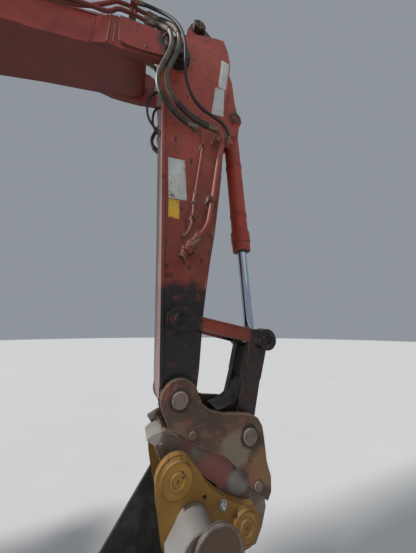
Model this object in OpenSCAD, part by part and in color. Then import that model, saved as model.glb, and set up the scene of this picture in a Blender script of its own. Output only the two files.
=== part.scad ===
// Crawler excavator of the 33 tonne class, parked with its bucket just above the ground.
// Frame: origin on the ground under the swing axis, +X forward, +Y left, +Z up, millimetres.

/* [Undercarriage] */
// Distance between sprocket and idler centres
tumbler_base = 3900; // [3800:10:4000]
// Distance between the two tracks' centre lines
gauge = 2590; // [2500:10:2700]
// Width of a track shoe
shoe_w = 600; // [500:50:700]
// Overall height of a track
track_h = 1070; // [1050:2:1090]
// Number of shoes on each track
shoe_count = 48; // [44:1:52]

/* [House] */
// Width over the house's side panels
house_w = 2960; // [2900:10:3040]
// Radius of the tail round the swing axis
tail_r = 3500; // [3450:10:3600]
// Underside of the deck
deck_z = 1190; // [1185:1:1200]
// Top of the cab roof
cab_top = 3160; // [3100:10:3200]

/* [Working gear] */
// Height of the arm's tip pin over the ground, at rest
tip_z = 1900; // [1890:1:1960]
// Distance of the arm's tip pin ahead of the swing axis, at rest
tip_x = 5900; // [5850:5:5950]
// Half width of the arm's box
arm_hw = 175; // [165:1:178]
// Half width of the boom's box
boom_hw = 200; // [196:1:204]
// Half width of the bucket
bucket_hw = 505; // [480:5:560]

/* [Hidden] */
$fn = 48;
red = [0.62, 0.20, 0.14];
rust = [0.34, 0.23, 0.17];
grease = [0.10, 0.09, 0.09];
steel = [0.33, 0.31, 0.29];
ochre = [0.66, 0.46, 0.13];
chrome = [0.75, 0.76, 0.78];
iron = [0.20, 0.20, 0.21];
glass = [0.45, 0.55, 0.60];

// Pin places beside the arm, [forward, up] from the arm's tip pin
tip_pin = [0, 0];
foot_pin = [-168, 3196];
arm_rod_pin = [115, 3990];
bucket_head_pin = [554, 2747];
rocker_pin = [-12, 518];
link_pin = [685, 361];
coupler_pin = [500, -275];
ear_pin_front = [-20, -370];
ear_pin_rear = [395, -675];
pin_play = 0.5;
side_play = 6;

// Pin places on the house, [forward, up] from the ground under the swing axis
boom_foot = [180, 1950];
boom_base = [930, 1480];
boom_tip = [tip_x + foot_pin[0], tip_z + foot_pin[1]];
chord = boom_tip - boom_foot;
chord_ang = atan2(chord[1], chord[0]);
// Pin places on the boom, [along its chord, above it]
boom_rod_pin = [3050, 720];
arm_base_pin = [3300, 1440];
// Half widths of the cylinders' eyes at their lugs
arm_base_hw = 108;
bucket_head_hw = 82;

function dir(a) = [cos(a), sin(a)];
function turn(p, a) = [p[0] * cos(a) - p[1] * sin(a), p[0] * sin(a) + p[1] * cos(a)];
function on_boom(p) = boom_foot + turn(p, chord_ang);
function on_arm(p) = [tip_x, tip_z] + p;
function arc(c, r, a0, a1, n) = [for (i = [0:n]) c + r * dir(a0 + (a1 - a0) * i / n)];
function back_to_front(v) = [for (i = [len(v) - 1:-1:0]) v[i]];

// A plate with its outline in the X-Z plane, between y0 and y1
module plate(pts, y0, y1) {
    translate([0, y1, 0]) rotate([90, 0, 0]) linear_extrude(y1 - y0) polygon(pts);
}
// A round bar along Y
module round_y(p, r, y0, y1) {
    translate([p[0], y1, p[1]]) rotate([90, 0, 0]) cylinder(h = y1 - y0, r = r);
}
module both_sides() {
    children();
    mirror([0, 1, 0]) children();
}
// A bar with round ends of different radii
module link_bar(p, rp, q, rq, y0, y1) {
    d = q - p;
    a = atan2(d[1], d[0]);
    b = acos((rp - rq) / norm(d));
    round_y(p, rp, y0, y1);
    round_y(q, rq, y0, y1);
    plate([p + rp * dir(a + b), p + rp * dir(a - b), q + rq * dir(a - b), q + rq * dir(a + b)], y0, y1);
}
module box(x0, x1, y0, y1, z0, z1) {
    translate([x0, y0, z0]) cube([x1 - x0, y1 - y0, z1 - z0]);
}
// A tube of n sides along a route, as one polyhedron
function unit(v) = v / norm(v);
function along(r, i) = unit(r[min(i + 1, len(r) - 1)] - r[max(i - 1, 0)]);
function ring(c, t, r, n) =
    let (u = unit(cross(t, abs(t[1]) < 0.9 ? [0, 1, 0] : [1, 0, 0])), v = cross(t, u))
    [for (k = [0:n - 1]) c + r * (cos(k * 360 / n) * u + sin(k * 360 / n) * v)];
module tube(route, r, n = 8) {
    m = len(route);
    pts = [for (i = [0:m - 1]) each ring(route[i], along(route, i), r, n)];
    sides = [for (i = [0:m - 2]) for (k = [0:n - 1])
        [i * n + k, (i + 1) * n + k, (i + 1) * n + (k + 1) % n, i * n + (k + 1) % n]];
    polyhedron(pts, concat(sides, [[for (k = [0:n - 1]) k], [for (k = [n - 1:-1:0]) (m - 1) * n + k]]));
}
module at_arm() { translate([tip_x, 0, tip_z]) children(); }
module at_boom() { translate([boom_foot[0], 0, boom_foot[1]]) rotate([0, -chord_ang, 0]) children(); }

// Hydraulic cylinder from pin a toward pin b, [forward, up], its axis at yc and its eye bored for pin_r
module barrel(a, b, yc, r, eye_r, eye_hw, length, rod_r, pin_r) {
    neck = eye_r + 50;
    d = b - a;
    translate([a[0], yc, a[1]]) rotate([0, -atan2(d[1], d[0]), 0]) difference() {
        union() {
            round_y([0, 0], eye_r, -eye_hw, eye_hw);
            translate([eye_r * 0.7, 0, 0]) rotate([0, 90, 0])
                cylinder(h = neck, r = min(r * 0.72, eye_hw - 4));
            translate([neck, 0, 0]) rotate([0, 90, 0]) cylinder(h = length - neck, r = r);
            translate([length - 200, 0, 0]) rotate([0, 90, 0]) cylinder(h = 110, r = r + 12);
            translate([length - 80, 0, 0]) rotate([0, 90, 0]) cylinder(h = 80, r = r + 6);
        }
        round_y([0, 0], pin_r + pin_play, -eye_hw - 1, eye_hw + 1);
        translate([neck + 30, 0, 0]) rotate([0, 90, 0]) cylinder(h = length - neck - 110, r = r - 18);
        translate([length - 90, 0, 0]) rotate([0, 90, 0]) cylinder(h = 100, r = rod_r + pin_play);
    }
}
module piston_rod(a, b, yc, eye_r, eye_hw, length, rod_r) {
    d = b - a;
    translate([b[0], yc, b[1]]) rotate([0, -atan2(d[1], d[0]), 0]) {
        round_y([0, 0], eye_r, -eye_hw, eye_hw);
        translate([-length, 0, 0]) rotate([0, 90, 0]) cylinder(h = length, r = rod_r);
    }
}

// Undercarriage

wheel_x = tumbler_base / 2;
wheel_z = track_h / 2;
grouser_h = 36;
plate_t = 14;
loop_r = track_h / 2 - grouser_h;
loop_len = 2 * tumbler_base + 2 * PI * loop_r;
pitch = loop_len / shoe_count;
// Place and heading at distance s along the track loop, starting over the sprocket
function loop_at(s) =
    s < tumbler_base ? [[-wheel_x + s, wheel_z + loop_r], 0] :
    s < tumbler_base + PI * loop_r ?
        let (a = 90 - (s - tumbler_base) / loop_r * 180 / PI)
        [[wheel_x, wheel_z] + loop_r * dir(a), a - 90] :
    s < 2 * tumbler_base + PI * loop_r ?
        [[wheel_x - (s - tumbler_base - PI * loop_r), wheel_z - loop_r], 180] :
        let (a = 270 - (s - 2 * tumbler_base - PI * loop_r) / loop_r * 180 / PI)
        [[-wheel_x, wheel_z] + loop_r * dir(a), a - 90];
// One shoe's outer profile, [along, out]
shoe_profile = [[-0.48, 0], [-0.48, 1], [-0.40, 1], [-0.37, 0.3], [-0.05, 0.3], [-0.03, 0.9], [0.03, 0.9],
    [0.05, 0.3], [0.36, 0.3], [0.39, 0.8], [0.46, 0.8], [0.46, 0]];
module track(side) {
    yc = side * gauge / 2;
    outer = [for (i = [0:shoe_count - 1]) let (c = loop_at((i + 0.5) * pitch)) for (q = shoe_profile)
        let (p = c[0] + turn([q[0] * pitch, q[1] * grouser_h], c[1]))
        // Shoes that bend round the ends settle no lower than the ground
        [p[0], max(0, min(track_h, p[1]))]];
    function stadium(r) = concat(arc([-wheel_x, wheel_z], r, 90, 270, 20),
        arc([wheel_x, wheel_z], r, -90, 90, 20));
    color(iron) {
        difference() {
            plate(outer, yc - shoe_w / 2, yc + shoe_w / 2);
            plate(stadium(loop_r - plate_t), yc - shoe_w / 2 - 1, yc + shoe_w / 2 + 1);
        }
        difference() {
            plate(stadium(loop_r - plate_t + 1), yc - 105, yc + 105);
            plate(stadium(loop_r - 125), yc - 106, yc + 106);
        }
    }
}
chain_r = loop_r - 125;
module track_left() { track(1); }
module track_right() { track(-1); }
module sprockets() {
    teeth = 21;
    rim = chain_r - 2;
    color(iron) both_sides() {
        plate([for (i = [0:teeth - 1]) for (k = [[0, -34], [0.25, -34], [0.42, 0], [0.72, 0]])
            [-wheel_x, wheel_z] + (rim + k[1]) * dir((i + k[0]) * 360 / teeth)],
            gauge / 2 - 40, gauge / 2 + 40);
        round_y([-wheel_x, wheel_z], 200, gauge / 2 - 104, gauge / 2 - 30);
        round_y([-wheel_x, wheel_z], 235, gauge / 2 + 30, gauge / 2 + 150);
        round_y([-wheel_x, wheel_z], 180, gauge / 2 + 140, gauge / 2 + 200);
    }
}
module idlers() {
    color(iron) both_sides() difference() {
        union() {
            round_y([wheel_x, wheel_z], chain_r - 2, gauge / 2 - 95, gauge / 2 + 95);
            round_y([wheel_x, wheel_z], 90, gauge / 2 - 154, gauge / 2 + 154);
        }
        for (f = [-1, 1]) translate([wheel_x, gauge / 2 + f * 85, wheel_z])
            rotate([90, 0, 0]) difference() {
            cylinder(h = 50, r = chain_r - 70, center = true);
            cylinder(h = 52, r = 130, center = true);
        }
    }
}
roller_r = 95;
roller_count = 8;
module lower_rollers() {
    color(iron) both_sides() for (i = [0:roller_count - 1]) {
        p = [-1470 + i * 2940 / (roller_count - 1), wheel_z - chain_r + roller_r + 2];
        round_y(p, roller_r, gauge / 2 - 100, gauge / 2 - 45);
        round_y(p, roller_r, gauge / 2 + 45, gauge / 2 + 100);
        round_y(p, roller_r - 20, gauge / 2 - 50, gauge / 2 + 50);
        round_y(p, 32, gauge / 2 - 106, gauge / 2 + 106);
    }
}
module carrier_rollers() {
    color(iron) both_sides() for (x = [-750, 750])
        round_y([x, wheel_z + chain_r - 74], 70, gauge / 2 - 100, gauge / 2 + 100);
}
module track_frame() {
    yc = gauge / 2;
    color(red) {
        plate([[-1545, 400], [-1440, 362], [1440, 362], [1545, 400], [1545, 640], [1440, 700],
            [-1440, 700], [-1545, 660]], yc - beam_hw, yc + beam_hw);
        // Guards beside the lower rollers
        for (f = [-1, 1]) plate([[-1530, 364], [-1560, 250], [-1500, 205], [1500, 205], [1560, 250],
            [1530, 364]], yc + f * 128 - 22, yc + f * 128 + 22);
        // Motor bracket that holds the sprocket
        plate([[-1500, 330], [-wheel_x, wheel_z - 250], [-wheel_x, wheel_z + 250], [-1500, 720]],
            yc - 150, yc - 105);
        round_y([-wheel_x, wheel_z], 250, yc - 150, yc - 105);
        for (x = [-750, 750]) box(x - 45, x + 45, yc - 95, yc + 95, 690, wheel_z + chain_r - 146);
        // Yoke that guides the idler
        for (f = [-1, 1]) plate([[1480, 430], [wheel_x + 60, 455], [wheel_x + 110, 500],
            [wheel_x + 110, 570], [wheel_x + 60, 615], [1480, 610]], yc + f * 175 - 20,
            yc + f * 175 + 20);
        for (f = [-1, 1]) box(1430, 1540, yc + f * 150 - 15, yc + f * 150 + 15, 430, 610);
        // Two steps on the outer face
        for (x = [-420, 420]) difference() {
            box(x - 190, x + 190, yc + beam_hw - 5, yc + step_y, 500, 590);
            box(x - 165, x + 165, yc + beam_hw, yc + step_y - 25, 490, 600);
        }
    }
}
module track_frame_left() { track_frame(); }
module track_frame_right() { mirror([0, 1, 0]) track_frame(); }
beam_hw = 150;
step_y = 285;
leg_y = gauge / 2 - beam_hw;
tow_hole = [780, 640];
tow_hole_r = 28;
tow_lug_hw = 30;
module car_body() {
    color(red) difference() {
        union() {
            translate([0, 0, 520]) linear_extrude(430) polygon([[-720, -600], [-1350, -leg_y],
                [-1000, -leg_y], [-500, -820], [500, -820], [1000, -leg_y], [1350, -leg_y], [720, -600],
                [620, 0], [720, 600], [1350, leg_y], [1000, leg_y], [500, 820], [-500, 820],
                [-1000, leg_y], [-1350, leg_y], [-720, 600], [-620, 0]]);
            translate([0, 0, 900]) cylinder(h = 175, r = 690);
            for (f = [-1, 1]) {
                box(f * 770 - 70, f * 770 + 70, -tow_lug_hw, tow_lug_hw, 560, 720);
                box(f * 640 - 100, f * 640 + 100, -200, 200, 540, 900);
            }
        }
        translate([0, 0, 500]) cylinder(h = 600, r = 470);
        for (f = [-1, 1])
            round_y([f * tow_hole[0], tow_hole[1]], tow_hole_r, -tow_lug_hw - 5, tow_lug_hw + 5);
    }
}
module slew_ring() {
    color(steel) difference() {
        translate([0, 0, 1075]) cylinder(h = 108, r = 640);
        translate([0, 0, 1070]) cylinder(h = 120, r = 500);
    }
}

// House

side_y = house_w / 2;
boom_foot_hw = 250;
bracket_y = boom_foot_hw + side_play;
bracket_t = 60;
cyl_y = 380;
cyl_eye_hw = 58;
module deck() {
    color(red) {
        difference() {
            box(-2350, 900, -side_y + 60, side_y - 60, deck_z, deck_z + 130);
            box(500, 950, -boom_foot_hw - 6, boom_foot_hw + 6, deck_z + 60, deck_z + 200);
        }
        both_sides() box(880, 1900, 500, side_y - 60, deck_z, deck_z + 130);
        both_sides() {
            plate([[-920, deck_z + 120], [-700, 1640], [-60, 2060], [60, 2110], [300, 2110], [410, 1960],
                [760, 1600], [1020, 1570], [1050, 1400], [960, deck_z + 40], [800, deck_z]],
                bracket_y, bracket_y + bracket_t);
            plate([[700, deck_z + 40], [850, 1590], [1000, 1590], [1040, 1400], [960, deck_z + 40]],
                cyl_y + cyl_eye_hw + side_play, cyl_y + cyl_eye_hw + side_play + 36);
            round_y(boom_foot, 100, bracket_y, bracket_y + bracket_t + 30);
            round_y(boom_base, 55, bracket_y, cyl_y + cyl_eye_hw + side_play + 56);
        }
        round_y(boom_foot, 60, -bracket_y - 5, bracket_y + 5);
    }
}
tail_x = -2380;
tail_top = 2440;
lift_eye = [-2980, 2495];
lift_hole_r = 28;
lift_lug_y = 620;
lift_lug_t = 40;
hood_x0 = -2360;
hood_x1 = -950;
hood_top = 2620;
hood_pin = [-2350, 2630];
module counterweight() {
    color(red) {
        intersection() {
            translate([0, 0, deck_z + 10]) cylinder(h = tail_top - deck_z - 10, r = tail_r, $fn = 120);
            // Side view: the tail is cut back below and rounded off above
            plate([[tail_x, deck_z], [tail_x, tail_top + 5], [-tail_r + 210, tail_top + 5],
                [-tail_r + 90, tail_top - 40], [-tail_r - 10, tail_top - 160],
                [-tail_r - 10, deck_z + 250], [-tail_r + 240, deck_z]], -side_y, side_y);
            // View from behind: the corners are rounded off
            rotate([90, 0, 90]) translate([0, 0, -tail_r - 10]) linear_extrude(tail_r)
                polygon([[-side_y, deck_z + 70], [-side_y + 60, deck_z], [side_y - 60, deck_z],
                    [side_y, deck_z + 70], [side_y, tail_top - 90], [side_y - 80, tail_top + 5],
                    [-side_y + 80, tail_top + 5], [-side_y, tail_top - 90]]);
        }
        // Lifting lugs
        both_sides() difference() {
            union() {
                round_y(lift_eye, 62, lift_lug_y, lift_lug_y + lift_lug_t);
                box(lift_eye[0] - 85, lift_eye[0] + 85, lift_lug_y, lift_lug_y + lift_lug_t,
                    tail_top - 5, lift_eye[1] - 10);
            }
            round_y(lift_eye, lift_hole_r, lift_lug_y - 5, lift_lug_y + lift_lug_t + 5);
        }
        // Brackets of the hood's hinge
        both_sides() plate([[tail_x - 60, tail_top - 5], [tail_x - 5, tail_top - 5],
            [tail_x - 5, hood_top + 6], [hood_pin[0] + 6, hood_top + 6],
            [hood_pin[0] + 6, hood_top + 26], [tail_x - 60, hood_top + 26]], 706, 724);
    }
}
module engine_block() {
    color(steel) box(-2180, -1380, -700, 750, deck_z + 136, 2240);
}
hood_hw = 980;
module hood() {
    color(red) {
        difference() {
            intersection() {
                box(hood_x0, hood_x1, -hood_hw, hood_hw, 2330, hood_top);
                rotate([90, 0, 90]) translate([0, 0, hood_x0 - 5]) linear_extrude(hood_x1 - hood_x0 + 10)
                    polygon([[-hood_hw, 2300], [hood_hw, 2300], [hood_hw, hood_top - 90],
                        [hood_hw - 90, hood_top], [-hood_hw + 90, hood_top], [-hood_hw, hood_top - 90]]);
            }
            box(hood_x0 + 30, hood_x1 - 30, -hood_hw + 30, hood_hw - 30, 2320, hood_top - 95);
            box(hood_x0 + 30, hood_x1 - 30, -hood_hw + 110, hood_hw - 110, 2320, hood_top - 30);
            // Louvres over the engine
            for (i = [0:7]) box(-2180 + i * 60, -2150 + i * 60, -200, 640, hood_top - 40, hood_top + 5);
        }
        both_sides() round_y(hood_pin, 12, 590, 700);
        // Raised cover over the air cleaner
        box(-1560, -1120, 60, 620, hood_top - 5, hood_top + 70);
    }
}
module side_walls() {
    wall = 30;
    color(red) {
        // Left bay behind the cab, open toward the radiator door
        difference() {
            box(-2370, 60, 1000, side_y, deck_z + 134, 2320);
            box(-2340, 30, 1030, side_y - wall, deck_z + 130, 2290);
            box(-1960, -960, side_y - 50, side_y + 5, deck_z + 190, 2250);
        }
        // Right bay behind the tanks, open toward the pump door
        difference() {
            box(-2370, -700, -side_y, -1000, deck_z + 134, 2320);
            box(-2340, -730, -side_y + wall, -1030, deck_z + 130, 2290);
            box(-2010, -1010, -side_y - 5, -side_y + 50, deck_z + 190, 2250);
        }
        // Cross walls that close the engine bay
        box(-960, -930, -994, 994, deck_z + 134, 2320);
    }
}
knuckle_r = 12;
knuckle_y = side_y + 16;
// Two hinge knuckles at x, joined to the door in front of them
module knuckles(x) {
    for (z = [deck_z + 300, 2080]) {
        translate([x, knuckle_y, z]) cylinder(h = 90, r = knuckle_r);
        box(x, x + 60, side_y - 5, knuckle_y + 4, z, z + 90);
    }
}
module radiator_door() {
    color(red) {
        difference() {
            box(-1952, -968, side_y - 40, side_y - 2, deck_z + 198, 2242);
            for (i = [0:8])
                box(-1860, -1060, side_y - 45, side_y + 5, deck_z + 330 + i * 80, deck_z + 350 + i * 80);
        }
        knuckles(-1956);
        box(-1080, -1000, side_y - 5, side_y + 12, 1700, 1760);
    }
}
module pump_door() {
    color(red) mirror([0, 1, 0]) {
        difference() {
            box(-2002, -1018, side_y - 40, side_y - 2, deck_z + 198, 2242);
            for (i = [0:4])
                box(-1900, -1120, side_y - 45, side_y + 5, deck_z + 330 + i * 80, deck_z + 350 + i * 80);
        }
        knuckles(-2006);
        box(-1130, -1050, side_y - 5, side_y + 12, 1800, 1860);
    }
}
module fuel_tank() {
    color(red) {
        difference() {
            box(60, 1000, -side_y + 20, -500, deck_z + 134, 2280);
            // Bevels along the outer top edge and the front top edge
            rotate([90, 0, 90]) linear_extrude(1010) polygon([[-side_y, 2200], [-side_y + 100, 2290],
                [-side_y, 2290]]);
            plate([[920, 2290], [1010, 2290], [1010, 2200]], -side_y, -490);
        }
        translate([780, -1150, 2275]) cylinder(h = 45, r = 70);
    }
}
module hydraulic_tank() {
    color(red) {
        box(-690, 40, -side_y + 20, -500, deck_z + 134, 2380);
        translate([-330, -1000, 2375]) cylinder(h = 40, r = 130);
        translate([-100, -1250, 2375]) cylinder(h = 60, r = 45);
    }
}
module tool_box() {
    color(red) {
        box(1020, 1860, -side_y + 20, -760, deck_z + 134, 1760);
        box(1020, 1400, -side_y + 20, -760, 1750, 2000);
        // Toe steps on the front
        for (z = [deck_z + 190, deck_z + 400]) box(1855, 1895, -1300, -900, z, z + 30);
    }
}
module exhaust() {
    color(iron) {
        translate([-1300, -500, 2620]) cylinder(h = 320, r = 65);
        translate([-1300, -500, 2900]) rotate([0, -55, 0]) cylinder(h = 170, r = 60);
    }
}
rail_r = 17;
rail_bend = 70;
// A route with each corner cut to a short bend
function bent(r, b) = [r[0], for (i = [1:len(r) - 2]) let (p = r[i] - b * unit(r[i] - r[i - 1]),
    q = r[i] + b * unit(r[i + 1] - r[i]))
    each [p, p / 4 + r[i] / 2 + q / 4, q], r[len(r) - 1]];
module rail_path(pts) {
    tube(len(pts) > 2 ? bent(pts, rail_bend) : pts, rail_r, 10);
}
module handrails() {
    color(red) {
        rail_path([[1780, -1380, 1760], [1780, -1380, 2250], [1300, -1380, 2700], [120, -1380, 2700],
            [120, -1380, 2280]]);
        rail_path([[-100, 1440, 2320], [-100, 1440, 2700], [-900, 1440, 2700], [-900, 1440, 2320]]);
    }
}

// Cab

cab_x0 = 110;
cab_x1 = 1900;
cab_y0 = 500;
cab_y1 = 1450;
cab_z0 = deck_z + 134;
wall_t = 45;
cab_outline = [[cab_x0, cab_z0], [cab_x1, cab_z0], [cab_x1, cab_z0 + 750], [cab_x1 - 130, cab_top - 180],
    [cab_x1 - 300, cab_top], [cab_x0 + 120, cab_top], [cab_x0, cab_top - 120]];
cab_inside = [[cab_x0 + wall_t, cab_z0 + 40], [cab_x1 - wall_t, cab_z0 + 40],
    [cab_x1 - wall_t, cab_z0 + 745], [cab_x1 - 130 - wall_t, cab_top - 205],
    [cab_x1 - 315, cab_top - wall_t], [cab_x0 + 135, cab_top - wall_t], [cab_x0 + wall_t, cab_top - 135]];
door_outline = [[620, cab_z0 + 30], [1700, cab_z0 + 30], [1740, cab_z0 + 760], [1640, cab_top - 260],
    [1560, cab_top - 140], [620, cab_top - 140]];
door_gap_outline = [[614, cab_z0 + 24], [1706, cab_z0 + 24], [1747, cab_z0 + 761], [1646, cab_top - 257],
    [1564, cab_top - 134], [614, cab_top - 134]];
door_window = [[690, cab_z0 + 560], [1660, cab_z0 + 560], [1665, cab_z0 + 760], [1585, cab_top - 270],
    [1530, cab_top - 210], [690, cab_top - 210]];
rear_side_window = [[180, cab_z0 + 700], [540, cab_z0 + 700], [540, cab_top - 210], [240, cab_top - 210],
    [180, cab_top - 270]];
right_window = [[190, cab_z0 + 650], [1780, cab_z0 + 560], [1785, cab_z0 + 740], [1670, cab_top - 240],
    [1600, cab_top - 200], [230, cab_top - 200], [190, cab_top - 250]];
module cab_shell() {
    color(red) difference() {
        plate(cab_outline, cab_y0, cab_y1);
        plate(cab_inside, cab_y0 + wall_t, cab_y1 - wall_t);
        plate(door_gap_outline, cab_y1 - wall_t - 1, cab_y1 + 1);
        plate(rear_side_window, cab_y1 - wall_t - 1, cab_y1 + 1);
        plate(right_window, cab_y0 - 1, cab_y0 + wall_t + 1);
        // Windscreen, lower front pane, rear window and roof hatch
        box(cab_x1 - 400, cab_x1 + 10, cab_y0 + 90, cab_y1 - 90, cab_z0 + 800, cab_top - 230);
        box(cab_x1 - 60, cab_x1 + 10, cab_y0 + 110, cab_y1 - 110, cab_z0 + 200, cab_z0 + 680);
        box(cab_x0 - 10, cab_x0 + 60, cab_y0 + 110, cab_y1 - 110, cab_z0 + 900, cab_top - 260);
        box(500, 1200, cab_y0 + 180, cab_y1 - 180, cab_top - 80, cab_top + 10);
    }
}
module cab_door() {
    color(red) {
        difference() {
            plate(door_outline, cab_y1 - wall_t + 4, cab_y1);
            plate(door_window, cab_y1 - wall_t, cab_y1 + 5);
        }
        for (z = [cab_z0 + 250, cab_z0 + 1250])
            translate([606, cab_y1 + 22, z]) cylinder(h = 110, r = 14);
        for (z = [cab_z0 + 250, cab_z0 + 1250]) box(616, 660, cab_y1 - 2, cab_y1 + 30, z + 10, z + 100);
        rail_path([[1500, cab_y1 - 5, cab_z0 + 300], [1500, cab_y1 + 75, cab_z0 + 300],
            [1500, cab_y1 + 75, cab_z0 + 540], [1500, cab_y1 - 5, cab_z0 + 540]]);
    }
}
pane_t = 8;
module door_glass() {
    color(glass) plate(door_window, cab_y1 - 26, cab_y1 - 26 + pane_t);
}
module cab_glass() {
    color(glass) {
        // Windscreen, set in the slope of the front pillars
        plate([[cab_x1 - 26, cab_z0 + 800], [cab_x1 - 26 - pane_t, cab_z0 + 800], [cab_x1 - 142 - pane_t,
            cab_top - 230], [cab_x1 - 142, cab_top - 230]], cab_y0 + 90, cab_y1 - 90);
        box(500, 1200, cab_y0 + 180, cab_y1 - 180, cab_top - 25, cab_top - 25 + pane_t);
        plate(rear_side_window, cab_y1 - 30, cab_y1 - 30 + pane_t);
        plate(right_window, cab_y0 + 15, cab_y0 + 15 + pane_t);
        box(cab_x0 + 15, cab_x0 + 15 + pane_t, cab_y0 + 110, cab_y1 - 110, cab_z0 + 900, cab_top - 260);
        box(cab_x1 - 28, cab_x1 - 28 + pane_t, cab_y0 + 110, cab_y1 - 110, cab_z0 + 200, cab_z0 + 680);
    }
}
module seat() {
    color([0.15, 0.15, 0.16]) {
        box(560, 1060, 740, 1220, cab_z0 + 40, cab_z0 + 250);
        box(520, 1080, 720, 1240, cab_z0 + 250, cab_z0 + 400);
        plate([[520, cab_z0 + 390], [640, cab_z0 + 390], [540, cab_z0 + 1050], [430, cab_z0 + 1050]],
            740, 1220);
        plate([[440, cab_z0 + 1040], [530, cab_z0 + 1040], [505, cab_z0 + 1210], [425, cab_z0 + 1210]],
            850, 1110);
    }
}
module consoles() {
    color([0.2, 0.2, 0.21]) for (y = [600, 1270]) {
        box(760, 1300, y, y + 100, cab_z0 + 40, cab_z0 + 560);
        translate([1230, y + 50, cab_z0 + 550]) cylinder(h = 190, r = 16);
        translate([1230, y + 50, cab_z0 + 730]) cylinder(h = 90, r = 28);
    }
}
module mirrors() {
    color(iron) {
        rail_path([[1720, cab_y1, cab_z0 + 1180], [1720, cab_y1 + 90, cab_z0 + 1180],
            [1960, cab_y1 + 130, cab_z0 + 1180]]);
        box(1945, 1985, cab_y1 + 60, cab_y1 + 200, cab_z0 + 1080, cab_z0 + 1320);
        rail_path([[1820, -1440, 1760], [1820, -1440, 2420]]);
        box(1800, 1840, -1500, -1350, 2410, 2640);
    }
}

// Boom

// Sections of the boom's side: [along the chord, above it, half height, heading]
boom_sections = [[150, 52, 165, 19], [900, 310, 250, 19.5], [1900, 665, 335, 18], [2500, 850, 368, 13],
    [2800, 912, 372, 6], [3100, 930, 362, -2], [3400, 900, 340, -9], [3700, 840, 308, -14],
    [4400, 628, 238, -16.5], [5182, 383, 182, -16.4], [5773, 209, 181, -16.4]];
boom_top = [for (s = boom_sections) [s[0], s[1]] + s[2] * dir(s[3] + 90)];
boom_bottom = [for (s = boom_sections) [s[0], s[1]] - s[2] * dir(s[3] + 90)];
// Side plates of the boom's fork, [forward, up] from the arm's tip pin
fork_outline = concat([[-765, 3294], [-620, 3335], [-260, 3365]], arc(foot_pin, 165, 85, -70, 12),
    [[-500, 2930], [-660, 2905], [-765, 2900]]);
fork_y0 = arm_hw + side_play + 5;
fork_y1 = 236;
// Box between the fork's plates, [forward, up] from the pin; it leaves the arm's head room to swing
web_outline = [[-720, -320], [-392, -261], [-302, -211], [-275, -150], [-268, -20], [-372, 50],
    [-385, 75], [-400, 98], [-470, 105], [-720, 46]];
doubler_outline = concat([[-690, 3290], [-300, 3345]], arc(foot_pin, 150, 90, -75, 12),
    [[-480, 2960], [-600, 2945]], arc([-600, 3020], 75, -90, -180, 5));
module boom_shell() {
    color(red) {
        at_boom() difference() {
            union() {
                plate(concat(boom_top, back_to_front(boom_bottom)), -boom_hw, boom_hw);
                round_y([0, 0], 150, -boom_foot_hw, boom_foot_hw);
                // The root narrows from the foot tube to the box
                hull() {
                    plate([[0, 150], [10, 150], [10, -150], [0, -150]], -boom_foot_hw + 14,
                        boom_foot_hw - 14);
                    plate([boom_top[1], boom_top[1] + [5, 0], boom_bottom[1] + [5, 0], boom_bottom[1]],
                        -boom_hw, boom_hw);
                }
                round_y(boom_rod_pin, 120, -cyl_y + cyl_eye_hw + side_play,
                    cyl_y - cyl_eye_hw - side_play);
                both_sides() plate(concat([[2960, 1240], [3080, 1420]], arc(arm_base_pin, 95, 140, -20,
                    8), [[3430, 1330], [3520, 1190]]), arm_base_hw + side_play,
                    arm_base_hw + side_play + 36);
                both_sides()
                    round_y(arm_base_pin, 80, arm_base_hw + side_play, arm_base_hw + side_play + 50);
                round_y(arm_base_pin, 50, -arm_base_hw - side_play - 1, arm_base_hw + side_play + 1);
            }
            round_y([0, 0], 60 + pin_play, -300, 300);
        }
        at_arm() {
            both_sides() {
                plate(fork_outline, fork_y0, fork_y1);
                // The casting spreads from the box to the fork
                hull() {
                    plate([[-905, 2880], [-900, 2880], [-900, 3236], [-905, 3236]], fork_y0, boom_hw + 1);
                    plate([[-766, 2901], [-761, 2902], [-761, 3293], [-766, 3292]], fork_y0, fork_y1 - 1);
                }
                plate(doubler_outline, fork_y1 - 1, fork_y1 + 24);
                round_y(foot_pin, 110, fork_y1, fork_y1 + 50);
            }
            plate([for (p = web_outline) foot_pin + p], -fork_y0 - 2, fork_y0 + 2);
            round_y(foot_pin, 60, -fork_y1, fork_y1);
        }
    }
}
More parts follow.
